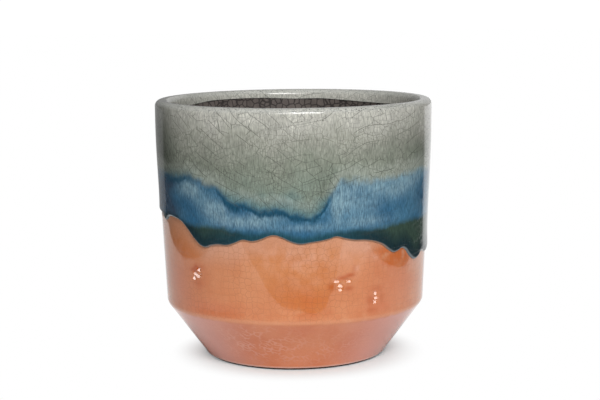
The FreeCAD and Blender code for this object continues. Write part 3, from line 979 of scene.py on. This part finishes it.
def slanted(tree, flat, angle):
    """The flat wall turned by that many degrees."""
    made = add(tree, "ShaderNodeVectorRotate", {"rotation_type": "Z_AXIS"},
               {"Vector": flat, "Angle": math.radians(angle)})
    return made.outputs[0]


def crackle(tree, flats, cell, width, randomness=0.9, turned=0.0, long=1.0):
    """1 on the lines of a crackle with cells of that size, which may be long one way."""
    layers = []
    for flat in flats[:2]:
        drawn = vectors(tree, "MULTIPLY", slanted(tree, flat, turned), (1 / long, 1.0, 1.0))
        made = add(tree, "ShaderNodeTexVoronoi",
                   {"feature": "DISTANCE_TO_EDGE", "voronoi_dimensions": "2D"},
                   {"Vector": drawn, "Scale": 1 / cell, "Randomness": randomness})
        line = width / cell
        layers.append(step(tree, made.outputs["Distance"], line, SOFT_LINE_SHARE * line))
    return fade(tree, flats[2], *layers)


def long_cracks(tree, flats, spacing, width, turned):
    """1 on long lines side by side that slant by that angle, unevenly spaced."""
    layers = []
    for flat in flats[:2]:
        across = parts_of(tree, slanted(tree, flat, turned))[1]
        sway = times(tree, grain(tree, flat, LONG_CRACK_BEND, 1), LONG_CRACK_SWAY_SHARE * spacing)
        count = calc(tree, "FRACT", times(tree, plus(tree, across, sway), 1 / spacing))
        away = times(tree, calc(tree, "ABSOLUTE", plus(tree, count, -0.5)), spacing)
        layers.append(step(tree, away, width, SOFT_LINE_SHARE * width))
    return fade(tree, flats[2], *layers)


def bump(tree, height, depth, normal=None):
    """Relief of that depth in millimetres."""
    inputs = {"Height": height, "Distance": depth * MM, "Strength": 1.0}
    if normal is not None:
        inputs["Normal"] = normal
    return add(tree, "ShaderNodeBump", None, inputs).outputs[0]


def relieve(tree, shader, place, crack, crack_depth, fur=None):
    """The slow swell of a glaze, its fur where it has one, and its cracks sunk in."""
    relief = bump(tree, grain(tree, place, SWELL_SIZE, 2), SWELL_DEPTH)
    if fur is not None:
        relief = bump(tree, fur, FUR_DEPTH, relief)
    relief = bump(tree, rest_of(tree, crack), crack_depth, relief)
    feed(tree, relief, shader.inputs["Normal"])


def start_finish(name, roughness, gloss=GLAZE_GLOSS):
    """A material with its shader, a hard glossy body whose index of refraction is its gloss."""
    finish = bpy.data.materials.new(name)
    finish.use_nodes = True
    shader = finish.node_tree.nodes["Principled BSDF"]
    shader.inputs["Roughness"].default_value = roughness
    shader.inputs["IOR"].default_value = gloss
    return finish, finish.node_tree, shader


# Apricot glaze

DULL_APRICOT = srgb(202, 124, 76)
BRIGHT_APRICOT = srgb(209, 136, 90)
DULL_BEVEL = srgb(197, 112, 73)
BRIGHT_BEVEL = srgb(203, 124, 86)

# Layers: a colour, and how much of it is laid over what lies under it.
# A redder apricot made lighter, partly painted light on the left side.
RUDDY_AND_PAINTED_LIGHT = srgb(204, 110, 70), 0.6
PEACH_UNDER_RUN = srgb(210, 154, 124), 0.8
ORANGE_AT_FOOT = srgb(197, 110, 60), 0.5
# Partly pooled glaze, partly painted reflection and painted crease shade.
DEEP_ORANGE_AND_REFLECTION = srgb(198, 96, 30), 0.8
PEACH_STREAK = srgb(232, 178, 152), 0.5
# Painted shade in the dents' upper sides, with pooled glaze.
DENT_GLAZE_AND_SHADE = srgb(180, 76, 0), 0.9
# Painted reflection: the pinkish sheen of the floor on the bevel's sides.
PINK_REFLECTION_ASIDE = srgb(209, 143, 128), 0.85
# Painted highlight along the corner between the bevel and the wall.
PAINTED_CORNER_HIGHLIGHT = srgb(216, 148, 110), 0.35
# Painted highlight on the bead at the foot, for the floor that it mirrors.
PAINTED_BEAD_HIGHLIGHT = srgb(228, 190, 176), 0.6
PALE_SCUFF = srgb(226, 176, 156), 0.42
CRACK_BROWN = srgb(146, 86, 54), 0.44

# Where each starts to show and where it shows in full, in millimetres.
UNDER_RUN = (19.0, 5.0)
WALL_FOOT = (37.0, 30.0)
ASIDE = (16.0, 60.0)
BEVEL_EDGE = (28.4, 26.2)
BESIDE_CORNER = (1.6, 0.2)
ON_BEAD = (2.3, 1.5)

# The same, of a noise from 0 to 1.
WALL_CLOUD = (0.36, 0.66)
BEVEL_CLOUD = (0.3, 0.7)
FOOT_LUMPS = (0.35, 0.6)
DEEP_LUMPS = (0.15, 0.55)
STREAK_LUMPS = (0.3, 0.7)
SCUFF_LUMPS = (0.4, 0.6)
CLEAR_CRACK = (0.36, 0.6)

# Lightness, or how much shows: from the third number to the fourth, while a height or a noise
# goes from the first to the second.
# Painted light: the bevel is lighter towards its foot, standing in for light from the floor.
BEVEL_PAINTED_LIGHT = (3.0, 17.0, 1.18, 1.0)
FLECK_LIGHT = (0.25, 0.75, 0.95, 1.05)
CRACK_ON_BEVEL = (26.0, 30.0, 0.15, 1.0)

UNDER_RUN_RAGGED = 12.0
BEVEL_EDGE_RAGGED = 1.6
FAINT_CRACK_SHARE = 0.35
FINE_CRACK_SHARE = 0.9
COARSE_CRACK_SHARE = 0.3
APRICOT_CRACK_DEPTH = 0.012
APRICOT_GLOSS = 1.6


def apricot_wall(tree, height, cloud, lumps):
    """Colour of the wall above the bevel: peach under the run, deep orange where it is thick and as
    painted reflection in front and painted shade along the crease, ruddy with painted light on the
    left, and painted shade in the dents.
    """
    wall = blend(tree, step(tree, cloud, *WALL_CLOUD), DULL_APRICOT, BRIGHT_APRICOT)
    wall = over(tree, wall, RUDDY_AND_PAINTED_LIGHT, field(tree, "ruddy"))
    below = plus(tree, field(tree, "below_run"), times(tree, cloud, UNDER_RUN_RAGGED))
    wall = over(tree, wall, PEACH_UNDER_RUN, step(tree, below, *UNDER_RUN))
    wall = over(tree, wall, ORANGE_AT_FOOT, step(tree, height, *WALL_FOOT),
                step(tree, lumps, *FOOT_LUMPS))
    wall = over(tree, wall, DEEP_ORANGE_AND_REFLECTION, field(tree, "deep"), step(tree, lumps, *DEEP_LUMPS))
    wall = over(tree, wall, PEACH_STREAK, field(tree, "streaks"),
                step(tree, lumps, *STREAK_LUMPS))
    return over(tree, wall, DENT_GLAZE_AND_SHADE, field(tree, "dent"))


def apricot_bevel(tree, height, cloud):
    """Colour of the bevel, with a painted pink reflection towards its sides and painted light making
    it lighter at its foot.
    """
    bevel = blend(tree, step(tree, cloud, *BEVEL_CLOUD), DULL_BEVEL, BRIGHT_BEVEL)
    aside = calc(tree, "ABSOLUTE", field(tree, "from_front"))
    bevel = over(tree, bevel, PINK_REFLECTION_ASIDE, step(tree, aside, *ASIDE))
    return shaded(tree, bevel, spread(tree, height, *BEVEL_PAINTED_LIGHT))


def apricot_crackle(tree, place, height):
    """Fine squarish cells and a few coarse lines, faint in places and on the bevel."""
    flats = unrolled(tree, place, wander(tree, place, size=8, amount=1.2))
    fine = crackle(tree, flats, cell=2.9, width=0.15, randomness=0.62)
    flats = unrolled(tree, place, wander(tree, place, size=14, amount=3.0))
    coarse = crackle(tree, flats, cell=9.0, width=0.2)
    clear = step(tree, grain(tree, place, size=22, detail=1), *CLEAR_CRACK)
    shown = plus(tree, FAINT_CRACK_SHARE, times(tree, clear, 1 - FAINT_CRACK_SHARE))
    crack = calc(tree, "MAXIMUM", times(tree, fine, shown, FINE_CRACK_SHARE),
                 times(tree, coarse, COARSE_CRACK_SHARE))
    return times(tree, crack, spread(tree, height, *CRACK_ON_BEVEL))


def apricot_scuffs(tree, place, lumps):
    """Worm-like scuffs."""
    flats = unrolled(tree, place, wander(tree, place, size=3, amount=2.2))
    worms = crackle(tree, flats, cell=2.2, width=0.5, randomness=1.0, turned=20.0, long=2.0)
    return times(tree, field(tree, "scuffs"), worms, step(tree, lumps, *SCUFF_LUMPS))


def apricot_finish():
    """Translucent apricot glaze over red clay, with a fine squarish crackle."""
    finish, tree, shader = start_finish("apricot crackle glaze", roughness=0.04, gloss=APRICOT_GLOSS)
    place = place_in_mm(tree)
    height = field(tree, "height")
    cloud = grain(tree, place, size=15, detail=3)
    lumps = grain(tree, place, size=5, detail=3)
    fleck = grain(tree, place, size=0.6)

    ragged = plus(tree, height, times(tree, lumps, BEVEL_EDGE_RAGGED))
    colour = blend(tree, step(tree, ragged, *BEVEL_EDGE),
                   apricot_wall(tree, height, cloud, lumps), apricot_bevel(tree, height, cloud))
    from_corner = calc(tree, "ABSOLUTE", plus(tree, height, -CORNER_HEIGHT))
    colour = over(tree, colour, PAINTED_CORNER_HIGHLIGHT, step(tree, from_corner, *BESIDE_CORNER))
    colour = over(tree, colour, PAINTED_BEAD_HIGHLIGHT, step(tree, height, *ON_BEAD))
    colour = over(tree, colour, PALE_SCUFF, apricot_scuffs(tree, place, lumps))
    crack = apricot_crackle(tree, place, height)
    colour = over(tree, colour, CRACK_BROWN, crack)
    colour = shaded(tree, colour, spread(tree, fleck, *FLECK_LIGHT))
    feed(tree, colour, shader.inputs["Base Color"])
    relieve(tree, shader, place, crack, APRICOT_CRACK_DEPTH)
    return finish


# Grey, blue and green run glaze

# The grey follows height and the green the way up from the run line, each from the low end of
# its span, 0, to the high end, 1.
GREY_SPAN = (78.0, 130.0)
GREY_TONES = (
    (0.0, srgb(98, 126, 130)), (0.12, srgb(112, 134, 130)), (0.24, srgb(131, 143, 131)),
    (0.45, srgb(139, 145, 132)), (0.7, srgb(167, 168, 157)), (0.9, srgb(198, 197, 188)),
)
GREEN_SPAN = (0.0, 10.0)
GREEN_TONES = (
    (0.0, srgb(26, 46, 54)), (0.3, srgb(28, 50, 55)), (0.65, srgb(44, 64, 60)),
    (1.0, srgb(56, 76, 66)),
)
DARK_BLUE = srgb(50, 98, 130)
LIGHT_BLUE = srgb(70, 116, 144)
PALE_BLUE = srgb(134, 164, 176)
BROWN_RIM = srgb(176, 122, 82)
GREY_RIM = srgb(104, 116, 120)
CRACK_GREY = srgb(54, 58, 50)

# Layers: a colour, and how much of it is laid over what lies under it.
# Painted shade mixed with darker glaze, for the grey's dark patches.
DARK_GLAZE_AND_SHADE = srgb(78, 84, 74), 0.85
HALO = srgb(184, 190, 180), 0.36
FRINGE = srgb(78, 118, 126), 0.5
NAVY = srgb(58, 80, 102), 0.95
CONTOUR = srgb(28, 74, 98), 0.9
TEAL = srgb(40, 84, 98), 0.75
LIP = srgb(190, 191, 186), 0.5
PITS = srgb(80, 84, 84), 0.6

# Where each starts to show and where it shows in full, in millimetres: past the blue's edge,
# down from the roll's top, up from the run line, to the right of the front, and up the pot.
HALO_EDGE = (-10.0, -4.0)
FRINGE_EDGE = (-8.0, -1.5)
BLUE_EDGE = (-3.0, 2.4)
CONTOUR_EDGE = (-1.8, 1.0)
GREEN_EDGE = (-1.0, 2.6)
RIM_EDGE = (0.95, 0.3)
RIGHT_SIDE = (-12.0, 16.0)
ON_LIP = (126.2, 128.0)

# The same, of a noise.
BLUE_CLOUD = (0.38, 0.62)
PALE_STREAK = (0.7, 1.3)
FALLING_CRACKS = (0.44, 0.5)
RISING_CRACKS = (0.42, 0.48)
CELLS = (0.47, 0.56)
SMALL_CELLS = (0.4, 0.54)
PIT_NOISE = (0.54, 0.66)

# Lightness, width, or how much shows: from the third number to the fourth, while a noise or a
# share goes from the first to the second.
MOTTLE_LIGHT = (0.3, 0.7, 0.9, 1.1)
FUR_LIGHT = (0.25, 0.75, -1.0, 1.0)
CONTOUR_WIDTH = (0.35, 0.65, 2.2, 5.0)
RISING_TO_RIGHT = (0.0, 1.0, 0.4, 1.0)

TONE_RAGGED = 22.0
BLUE_RAGGED = 5.0
GREEN_RAGGED = 3.0
FRAY = 1.5
GREEN_FRAY_SHARE = 0.6
FUR_SHARE = 0.37
FUR_LESS_IN_GREEN = -0.08
FUR_DRAWN_OUT = 0.2
EVEN_PALE_SHARE = 0.5
STREAKY_PALE_SHARE = 0.4
RIM_SHARE = 0.85
CONTOUR_CORE = 1.4
RUN_CRACK_WIDTH = 0.17
RUN_CRACK_DEPTH = 0.016
CRACK_SHARE = 0.7
CRACK_LESS_IN_BLUE = -0.46
CELLS_SHARE = 0.8
SMALL_CELLS_SHARE = 0.6


def grey_part(tree, place, cloud, depth):
    """Colour of the grey, clouded, darker in patches that are partly painted shade, with a pale halo
    or a blue fringe above the blue.
    """
    tone = plus(tree, field(tree, "height"), off_middle(tree, cloud, TONE_RAGGED))
    grey = ramp(tree, spread(tree, tone, *GREY_SPAN), GREY_TONES)
    mottle = grain(tree, place, size=9, detail=3)
    grey = shaded(tree, grey, spread(tree, mottle, *MOTTLE_LIGHT))
    grey = over(tree, grey, DARK_GLAZE_AND_SHADE, field(tree, "shade"))
    contour = field(tree, "contour")
    grey = over(tree, grey, HALO, step(tree, depth, *HALO_EDGE), rest_of(tree, contour))
    return over(tree, grey, FRINGE, step(tree, depth, *FRINGE_EDGE), contour)


def blue_part(tree, cloud, fur, strand):
    """Colour of the blue, with streaky pale places and navy ones."""
    blue = blend(tree, step(tree, cloud, *BLUE_CLOUD), DARK_BLUE, LIGHT_BLUE)
    streak = step(tree, plus(tree, fur, strand), *PALE_STREAK)
    streaky = plus(tree, EVEN_PALE_SHARE, times(tree, streak, STREAKY_PALE_SHARE))
    blue = blend(tree, times(tree, field(tree, "pale"), streaky), blue, PALE_BLUE)
    return over(tree, blue, NAVY, field(tree, "navy"))


def contour_line(tree, place, depth):
    """1 on the line along the top of the blue, which is thicker and thinner."""
    thick = spread(tree, grain(tree, place, size=8), *CONTOUR_WIDTH)
    return times(tree, step(tree, depth, *CONTOUR_EDGE), step(tree, depth, thick, CONTOUR_CORE),
                 field(tree, "contour"))


def green_part(tree):
    """Colour of the roll, darkest at its foot and teal in places."""
    green = ramp(tree, spread(tree, field(tree, "above_run"), *GREEN_SPAN), GREEN_TONES)
    return over(tree, green, TEAL, field(tree, "teal"))


def run_crackle(tree, place, cloud):
    """Long cracks that slant one way on each side of the front, with cells between them."""
    flats = unrolled(tree, place, wander(tree, place, size=20, amount=4.0))
    close = unrolled(tree, place, wander(tree, place, size=5, amount=0.8))
    falling = long_cracks(tree, flats, spacing=4.8, width=RUN_CRACK_WIDTH, turned=37.0)
    rising = long_cracks(tree, flats, spacing=7.0, width=RUN_CRACK_WIDTH, turned=-18.0)
    cells = crackle(tree, flats, cell=4.6, width=RUN_CRACK_WIDTH, randomness=0.95, turned=10.0,
                    long=1.5)
    small = crackle(tree, close, cell=2.5, width=0.15, randomness=1.0)
    right = step(tree, field(tree, "from_front"), *RIGHT_SIDE)
    falls = step(tree, grain(tree, place, size=13, detail=1), *FALLING_CRACKS)
    rises = step(tree, grain(tree, place, size=19, detail=1), *RISING_CRACKS)
    celled = step(tree, grain(tree, place, size=9), *CELLS)
    crack = calc(tree, "MAXIMUM", times(tree, falling, falls, rest_of(tree, right)),
                 times(tree, rising, rises, spread(tree, right, *RISING_TO_RIGHT)))
    crack = calc(tree, "MAXIMUM", crack, times(tree, cells, celled, CELLS_SHARE))
    crazed = times(tree, small, step(tree, cloud, *SMALL_CELLS), SMALL_CELLS_SHARE)
    return calc(tree, "MAXIMUM", crack, crazed)


def lip_colour(tree, place, colour):
    """The paler, pitted glaze on the lip's crest."""
    lip = step(tree, field(tree, "height"), *ON_LIP)
    pits = step(tree, grain(tree, place, size=0.9, roughness=0.7), *PIT_NOISE)
    return over(tree, over(tree, colour, LIP, lip), PITS, lip, pits)


def rim_colour(tree, colour):
    """The thin rim along the run line, brown or grey."""
    edge = step(tree, field(tree, "above_run"), *RIM_EDGE)
    rim = blend(tree, field(tree, "grey_rim"), BROWN_RIM, GREY_RIM)
    return over(tree, colour, (rim, RIM_SHARE), edge)


def upper_finish():
    """Grey crackle glaze that runs through streaky blue into a dark green roll."""
    finish, tree, shader = start_finish("grey, blue and green run glaze", roughness=0.05)
    place = place_in_mm(tree)
    drawn = drawn_out(tree, place, FUR_DRAWN_OUT)
    fur = grain(tree, drawn, size=0.52, roughness=0.6)
    strand = grain(tree, drawn, size=1.6)
    cloud = grain(tree, place, size=14, detail=3)
    lumps = grain(tree, place, size=5, detail=3)
    frayed = times(tree, plus(tree, fur, strand, -1.0), FRAY)

    into_blue = plus(tree, off_middle(tree, lumps, BLUE_RAGGED), frayed,
                     times(tree, field(tree, "above_blue"), -1.0))
    in_blue = step(tree, into_blue, *BLUE_EDGE)
    colour = blend(tree, in_blue, grey_part(tree, place, cloud, into_blue),
                   blue_part(tree, cloud, fur, strand))
    colour = over(tree, colour, CONTOUR, contour_line(tree, place, into_blue))

    into_green = plus(tree, times(tree, frayed, GREEN_FRAY_SHARE),
                      off_middle(tree, lumps, GREEN_RAGGED),
                      times(tree, field(tree, "above_pool"), -1.0))
    in_green = step(tree, into_green, *GREEN_EDGE)
    colour = blend(tree, in_green, colour, green_part(tree))

    furry = plus(tree, FUR_SHARE, times(tree, in_green, FUR_LESS_IN_GREEN))
    light = plus(tree, 1.0, times(tree, furry, spread(tree, fur, *FUR_LIGHT)))
    colour = shaded(tree, colour, light)
    crack = run_crackle(tree, place, cloud)
    shown = plus(tree, CRACK_SHARE, times(tree, in_blue, CRACK_LESS_IN_BLUE))
    colour = blend(tree, times(tree, crack, shown), colour, CRACK_GREY)
    colour = rim_colour(tree, lip_colour(tree, place, colour))
    feed(tree, colour, shader.inputs["Base Color"])
    relieve(tree, shader, place, crack, RUN_CRACK_DEPTH, fur)
    return finish


# Liner glaze, specks and clay

DARK_LINER = srgb(72, 66, 63)
LIGHT_LINER = srgb(124, 115, 110)
LINER_CRACK = srgb(40, 38, 38), 0.75
LINER_CELL = 3.2
LINER_CELLS_UNEVEN = 0.75
LINER_LINE = (0.14, 0.03)
LINER_CRACK_DEPTH = 0.02

DARK_IRON = srgb(50, 48, 44)
LIGHT_IRON = srgb(98, 96, 90)
IRON_NOISE = (0.35, 0.65)

DARK_CLAY = srgb(176, 118, 92)
LIGHT_CLAY = srgb(198, 142, 114)
GRIT_BROWN = srgb(140, 92, 72)
# Painted shadow on the foot ring's outside, in the gap under the glazed edge.
PAINTED_FOOT_SHADOW = srgb(38, 28, 25)
GRIT_NOISE = (0.6, 0.75)
GRIT_DEPTH = 0.08
FOOT_SHADOW_FROM = (43.6, 44.1)


def brown_finish():
    """Dark liner glaze with a coarse crackle."""
    finish, tree, shader = start_finish("charcoal brown liner glaze", roughness=0.22)
    place = place_in_mm(tree)
    colour = blend(tree, grain(tree, place, size=5, detail=3), DARK_LINER, LIGHT_LINER)
    pushed = vectors(tree, "ADD", place, wander(tree, place, size=6, amount=3.0))
    cells = add(tree, "ShaderNodeTexVoronoi", {"feature": "DISTANCE_TO_EDGE"},
                {"Vector": pushed, "Scale": 1 / LINER_CELL, "Randomness": LINER_CELLS_UNEVEN})
    crack = step(tree, cells.outputs["Distance"], *LINER_LINE)
    colour = over(tree, colour, LINER_CRACK, crack)
    feed(tree, colour, shader.inputs["Base Color"])
    relieve(tree, shader, place, crack, LINER_CRACK_DEPTH)
    return finish


def speck_finish():
    """Dark iron specks melted into the glaze."""
    finish, tree, shader = start_finish("iron speck", roughness=0.2)
    tint = step(tree, grain(tree, place_in_mm(tree), size=1.5), *IRON_NOISE)
    feed(tree, blend(tree, tint, DARK_IRON, LIGHT_IRON), shader.inputs["Base Color"])
    return finish


def clay_finish():
    """Bare fired clay, matte and gritty, with painted dark shadow beside the glazed edge."""
    finish, tree, shader = start_finish("bare fired clay", roughness=0.85)
    place = place_in_mm(tree)
    grit = grain(tree, place, size=0.6, detail=3, roughness=0.7)
    colour = blend(tree, grain(tree, place, size=12, detail=4), DARK_CLAY, LIGHT_CLAY)
    colour = blend(tree, step(tree, grit, *GRIT_NOISE), colour, GRIT_BROWN)
    from_axis = length_of(tree, drawn_out(tree, place, 0.0))
    colour = blend(tree, step(tree, from_axis, *FOOT_SHADOW_FROM), colour, PAINTED_FOOT_SHADOW)
    feed(tree, colour, shader.inputs["Base Color"])
    feed(tree, bump(tree, grit, GRIT_DEPTH), shader.inputs["Normal"])
    return finish


# The studio

CAMERA_PLACE = (2.915, -748.7, 183.4)
CAMERA_DOWN = 0.1412
CAMERA_ROLL = -0.0089
CAMERA_LENS = 89.35
CAMERA_SENSOR = 36.0
CAMERA_SEES_METRES = 50.0

FLOOR_RADIUS = 6000.0
PAPER = (0.74, 0.8, 0.81, 1)
WHITE = (1, 1, 1, 1)
DARK_ROOM = 0.05

# The lit floor behind the pot: half its width and its turn in degrees, the softness of its sides
# in radians, between which places it brightens from left to right, and from what to what.
BACKDROP_HALF_WIDTH = 45.5
BACKDROP_TURN = 0.8
BACKDROP_SOFT = 0.02
BACKDROP_BRIGHTENS = (-60.0, 60.0)
BACKDROP_LIGHT = (0.27, 1.05)

# The table is dimmer at the left.
TABLE_BRIGHTENS = (-150.0, -40.0)
TABLE_LIGHT = (0.8, 1.0)

# The pot's shadow, by distance: as the camera sees it, with its middle moved, and as the glaze does.
SHADOW_SEEN = (34.0, 66.0)
SHADOW_MOVED = (-1.5, 3.0, 0.0)
SHADOW_MIRRORED = (47.0, 86.0)

# Edge of the white table, which the glaze mirrors: azimuth from the camera's side, distance.
TABLE_EDGE = (
    (-160, 470), (-145, 440), (-132, 405), (-123, 335), (-113, 300), (-101, 278), (-82, 278),
    (-73, 288), (-66, 345), (-56, 400), (-47, 365), (-41, 310), (-33, 267), (-27, 240), (-18, 203),
    (-9, 179), (0, 171), (8, 167), (16, 164), (22, 174), (25, 194), (28, 207), (31, 233),
    (36, 300), (46, 385), (56, 365), (63, 292), (68, 274), (78, 256), (93, 246), (102, 253),
    (112, 290), (124, 325), (136, 345), (152, 420), (172, 460),
)

# Softboxes: name, azimuth, elevation, distance, width, height, watts.
SOFTBOXES = (
    ("key softbox", 12, 36, 1300, 480, 330, 8),
    ("front fill", 5, 30, 1900, 1100, 900, 15),
    ("overhead", 0, 80, 1400, 1400, 1400, 3.5),
    ("back left panel", 198.5, 16, 1500, 1000, 900, 0.5),
    ("back right panel", 161.5, 16, 1500, 1000, 900, 1.5),
)

# Small lights that only the dents catch: name, azimuth, elevation. The rest is alike.
SPARKS = (("left spark", -86.5, 6), ("middle spark", 40, 11), ("right spark", 72, 7.5))
SPARK_SIZES = (900, 380, 360, 3.6)


def make_camera():
    """The photograph's view."""
    data = bpy.data.cameras.new("photo camera")
    data.lens = CAMERA_LENS
    data.sensor_width = CAMERA_SENSOR
    data.clip_end = CAMERA_SEES_METRES
    camera = put_in_scene("photo camera", data)
    turn = Matrix.Rotation(math.pi / 2 - CAMERA_DOWN, 4, "X") @ Matrix.Rotation(CAMERA_ROLL, 4, "Z")
    camera.matrix_world = Matrix.Translation(Vector(CAMERA_PLACE) * MM) @ turn
    bpy.context.scene.camera = camera


def backdrop_light(tree, where):
    """How bright the floor past the table is to the glaze: dark, but lit behind the pot."""
    x, y, _ = parts_of(tree, where)
    turned = plus(tree, calc(tree, "ARCTAN2", x, y), math.radians(BACKDROP_TURN))
    side = math.radians(BACKDROP_HALF_WIDTH)
    behind = step(tree, calc(tree, "ABSOLUTE", turned), side + BACKDROP_SOFT, side - BACKDROP_SOFT)
    rightwards = step(tree, x, *BACKDROP_BRIGHTENS)
    lit = spread(tree, rightwards, 0.0, 1.0, *BACKDROP_LIGHT)
    return plus(tree, DARK_ROOM, times(tree, behind, lit))


def table_light(tree, where):
    """How bright the table is to the glaze."""
    rightwards = step(tree, parts_of(tree, where)[0], *TABLE_BRIGHTENS)
    return spread(tree, rightwards, 0.0, 1.0, *TABLE_LIGHT)


def floor_finish(name, mirrored_light):
    """White paper with the pot's shadow to the camera, and a light of its own to the glaze."""
    finish = bpy.data.materials.new(name)
    finish.use_nodes = True
    tree = finish.node_tree
    tree.nodes.clear()
    where = place_in_mm(tree)
    seen = add(tree, "ShaderNodeLightPath").outputs["Is Camera Ray"]
    unseen = rest_of(tree, seen)
    strength = plus(tree, seen, times(tree, unseen, mirrored_light(tree, where)))
    from_shadow = length_of(tree, vectors(tree, "ADD", where, SHADOW_MOVED))
    bright = plus(tree, times(tree, seen, step(tree, from_shadow, *SHADOW_SEEN)),
                  times(tree, unseen, step(tree, length_of(tree, where), *SHADOW_MIRRORED)))
    paper = add(tree, "ShaderNodeBsdfDiffuse", None, {"Color": PAPER}).outputs[0]
    glow = add(tree, "ShaderNodeEmission", None, {"Color": WHITE, "Strength": strength}).outputs[0]
    mixed = add(tree, "ShaderNodeMixShader", None, {0: bright, 1: paper, 2: glow})
    out = add(tree, "ShaderNodeOutputMaterial")
    tree.links.new(mixed.outputs[0], out.inputs["Surface"])
    return finish


def ground_place(azimuth, distance):
    """A place on the floor, in metres, by its azimuth from the camera's side."""
    angle = math.radians(azimuth)
    return distance * MM * math.sin(angle), -distance * MM * math.cos(angle), 0.0


def make_floor():
    """The plain floor that the pot stands on: the table's outline, and a ring about it."""
    inner = [ground_place(azimuth, distance) for azimuth, distance in TABLE_EDGE]
    outer = [ground_place(azimuth, FLOOR_RADIUS) for azimuth, _ in TABLE_EDGE]
    count = len(inner)
    faces = [list(range(count))]
    for here in range(count):
        following = (here + 1) % count
        faces.append([here, count + here, count + following, following])
    data = bpy.data.meshes.new("floor")
    data.from_pydata(inner + outer, [], faces)
    data.materials.append(floor_finish("white table", table_light))
    data.materials.append(floor_finish("white floor", backdrop_light))
    for face in data.polygons[1:]:
        face.material_index = 1
    put_in_scene("floor", data)


def make_light(name, azimuth, elevation, distance, width, height, power, only=None):
    """A softbox that faces the pot. Azimuth 0 is at the camera's side, positive towards +X."""
    data = bpy.data.lights.new(name, "AREA")
    data.shape = "RECTANGLE"
    data.size = width * MM
    data.size_y = height * MM
    data.energy = power
    light = put_in_scene(name, data)
    if only:
        light.light_linking.receiver_collection = only
        light.visible_diffuse = False
    a, e = math.radians(azimuth), math.radians(elevation)
    target = Vector((0, 0, CLAY_HEIGHT / 2 * MM))
    spoke = Vector((math.sin(a) * math.cos(e), -math.cos(a) * math.cos(e), math.sin(e)))
    light.location = target + spoke * distance * MM
    light.rotation_euler = (-spoke).to_track_quat("-Z", "Y").to_euler()


def make_world():
    """White behind the pot, a dim room where it only lights it."""
    world = bpy.data.worlds.new("studio")
    world.use_nodes = True
    tree = world.node_tree
    tree.nodes.clear()
    seen = add(tree, "ShaderNodeLightPath").outputs["Is Camera Ray"]
    strength = plus(tree, DARK_ROOM, seen)
    glow = add(tree, "ShaderNodeBackground", None, {"Color": WHITE, "Strength": strength})
    out = add(tree, "ShaderNodeOutputWorld")
    tree.links.new(glow.outputs[0], out.inputs["Surface"])
    bpy.context.scene.world = world


def make_sparks(coat):
    """Small lights that only the dents in a coat catch."""
    only = bpy.data.collections.new("dented coat")
    only.objects.link(coat)
    for name, azimuth, elevation in SPARKS:
        make_light(name, azimuth, elevation, *SPARK_SIZES, only)


def make_studio():
    """Camera, floor, lights and surroundings."""
    make_camera()
    make_floor()
    make_world()
    for softbox in SOFTBOXES:
        make_light(*softbox)
    bpy.context.scene.view_settings.view_transform = "Standard"


# Dressing the pot

def dress(piece, finish, node):
    """A coat stands for its CAD node, in its finish."""
    piece.data.materials.append(finish)
    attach(piece, "root")
    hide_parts(node)


def dress_pot():
    """Every coat, and the clay itself."""
    outside = make_outside_coat()
    dress(outside, apricot_finish(), "base_glaze")
    make_sparks(outside)
    glaze = UpperGlaze()
    run_glaze = upper_finish()
    dress(make_green_roll(glaze), run_glaze, "drip_edge")
    dress(make_blue_band(glaze), run_glaze, "blue_glaze")
    dress(make_grey_coat(glaze), run_glaze, "grey_glaze")
    dress(make_liner(), brown_finish(), "liner_glaze")
    specks = make_lip_specks(speck_finish())
    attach(specks, "root")
    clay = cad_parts["clay_body"]
    clay.data.materials.clear()
    clay.data.materials.append(clay_finish())


make_studio()
dress_pot()
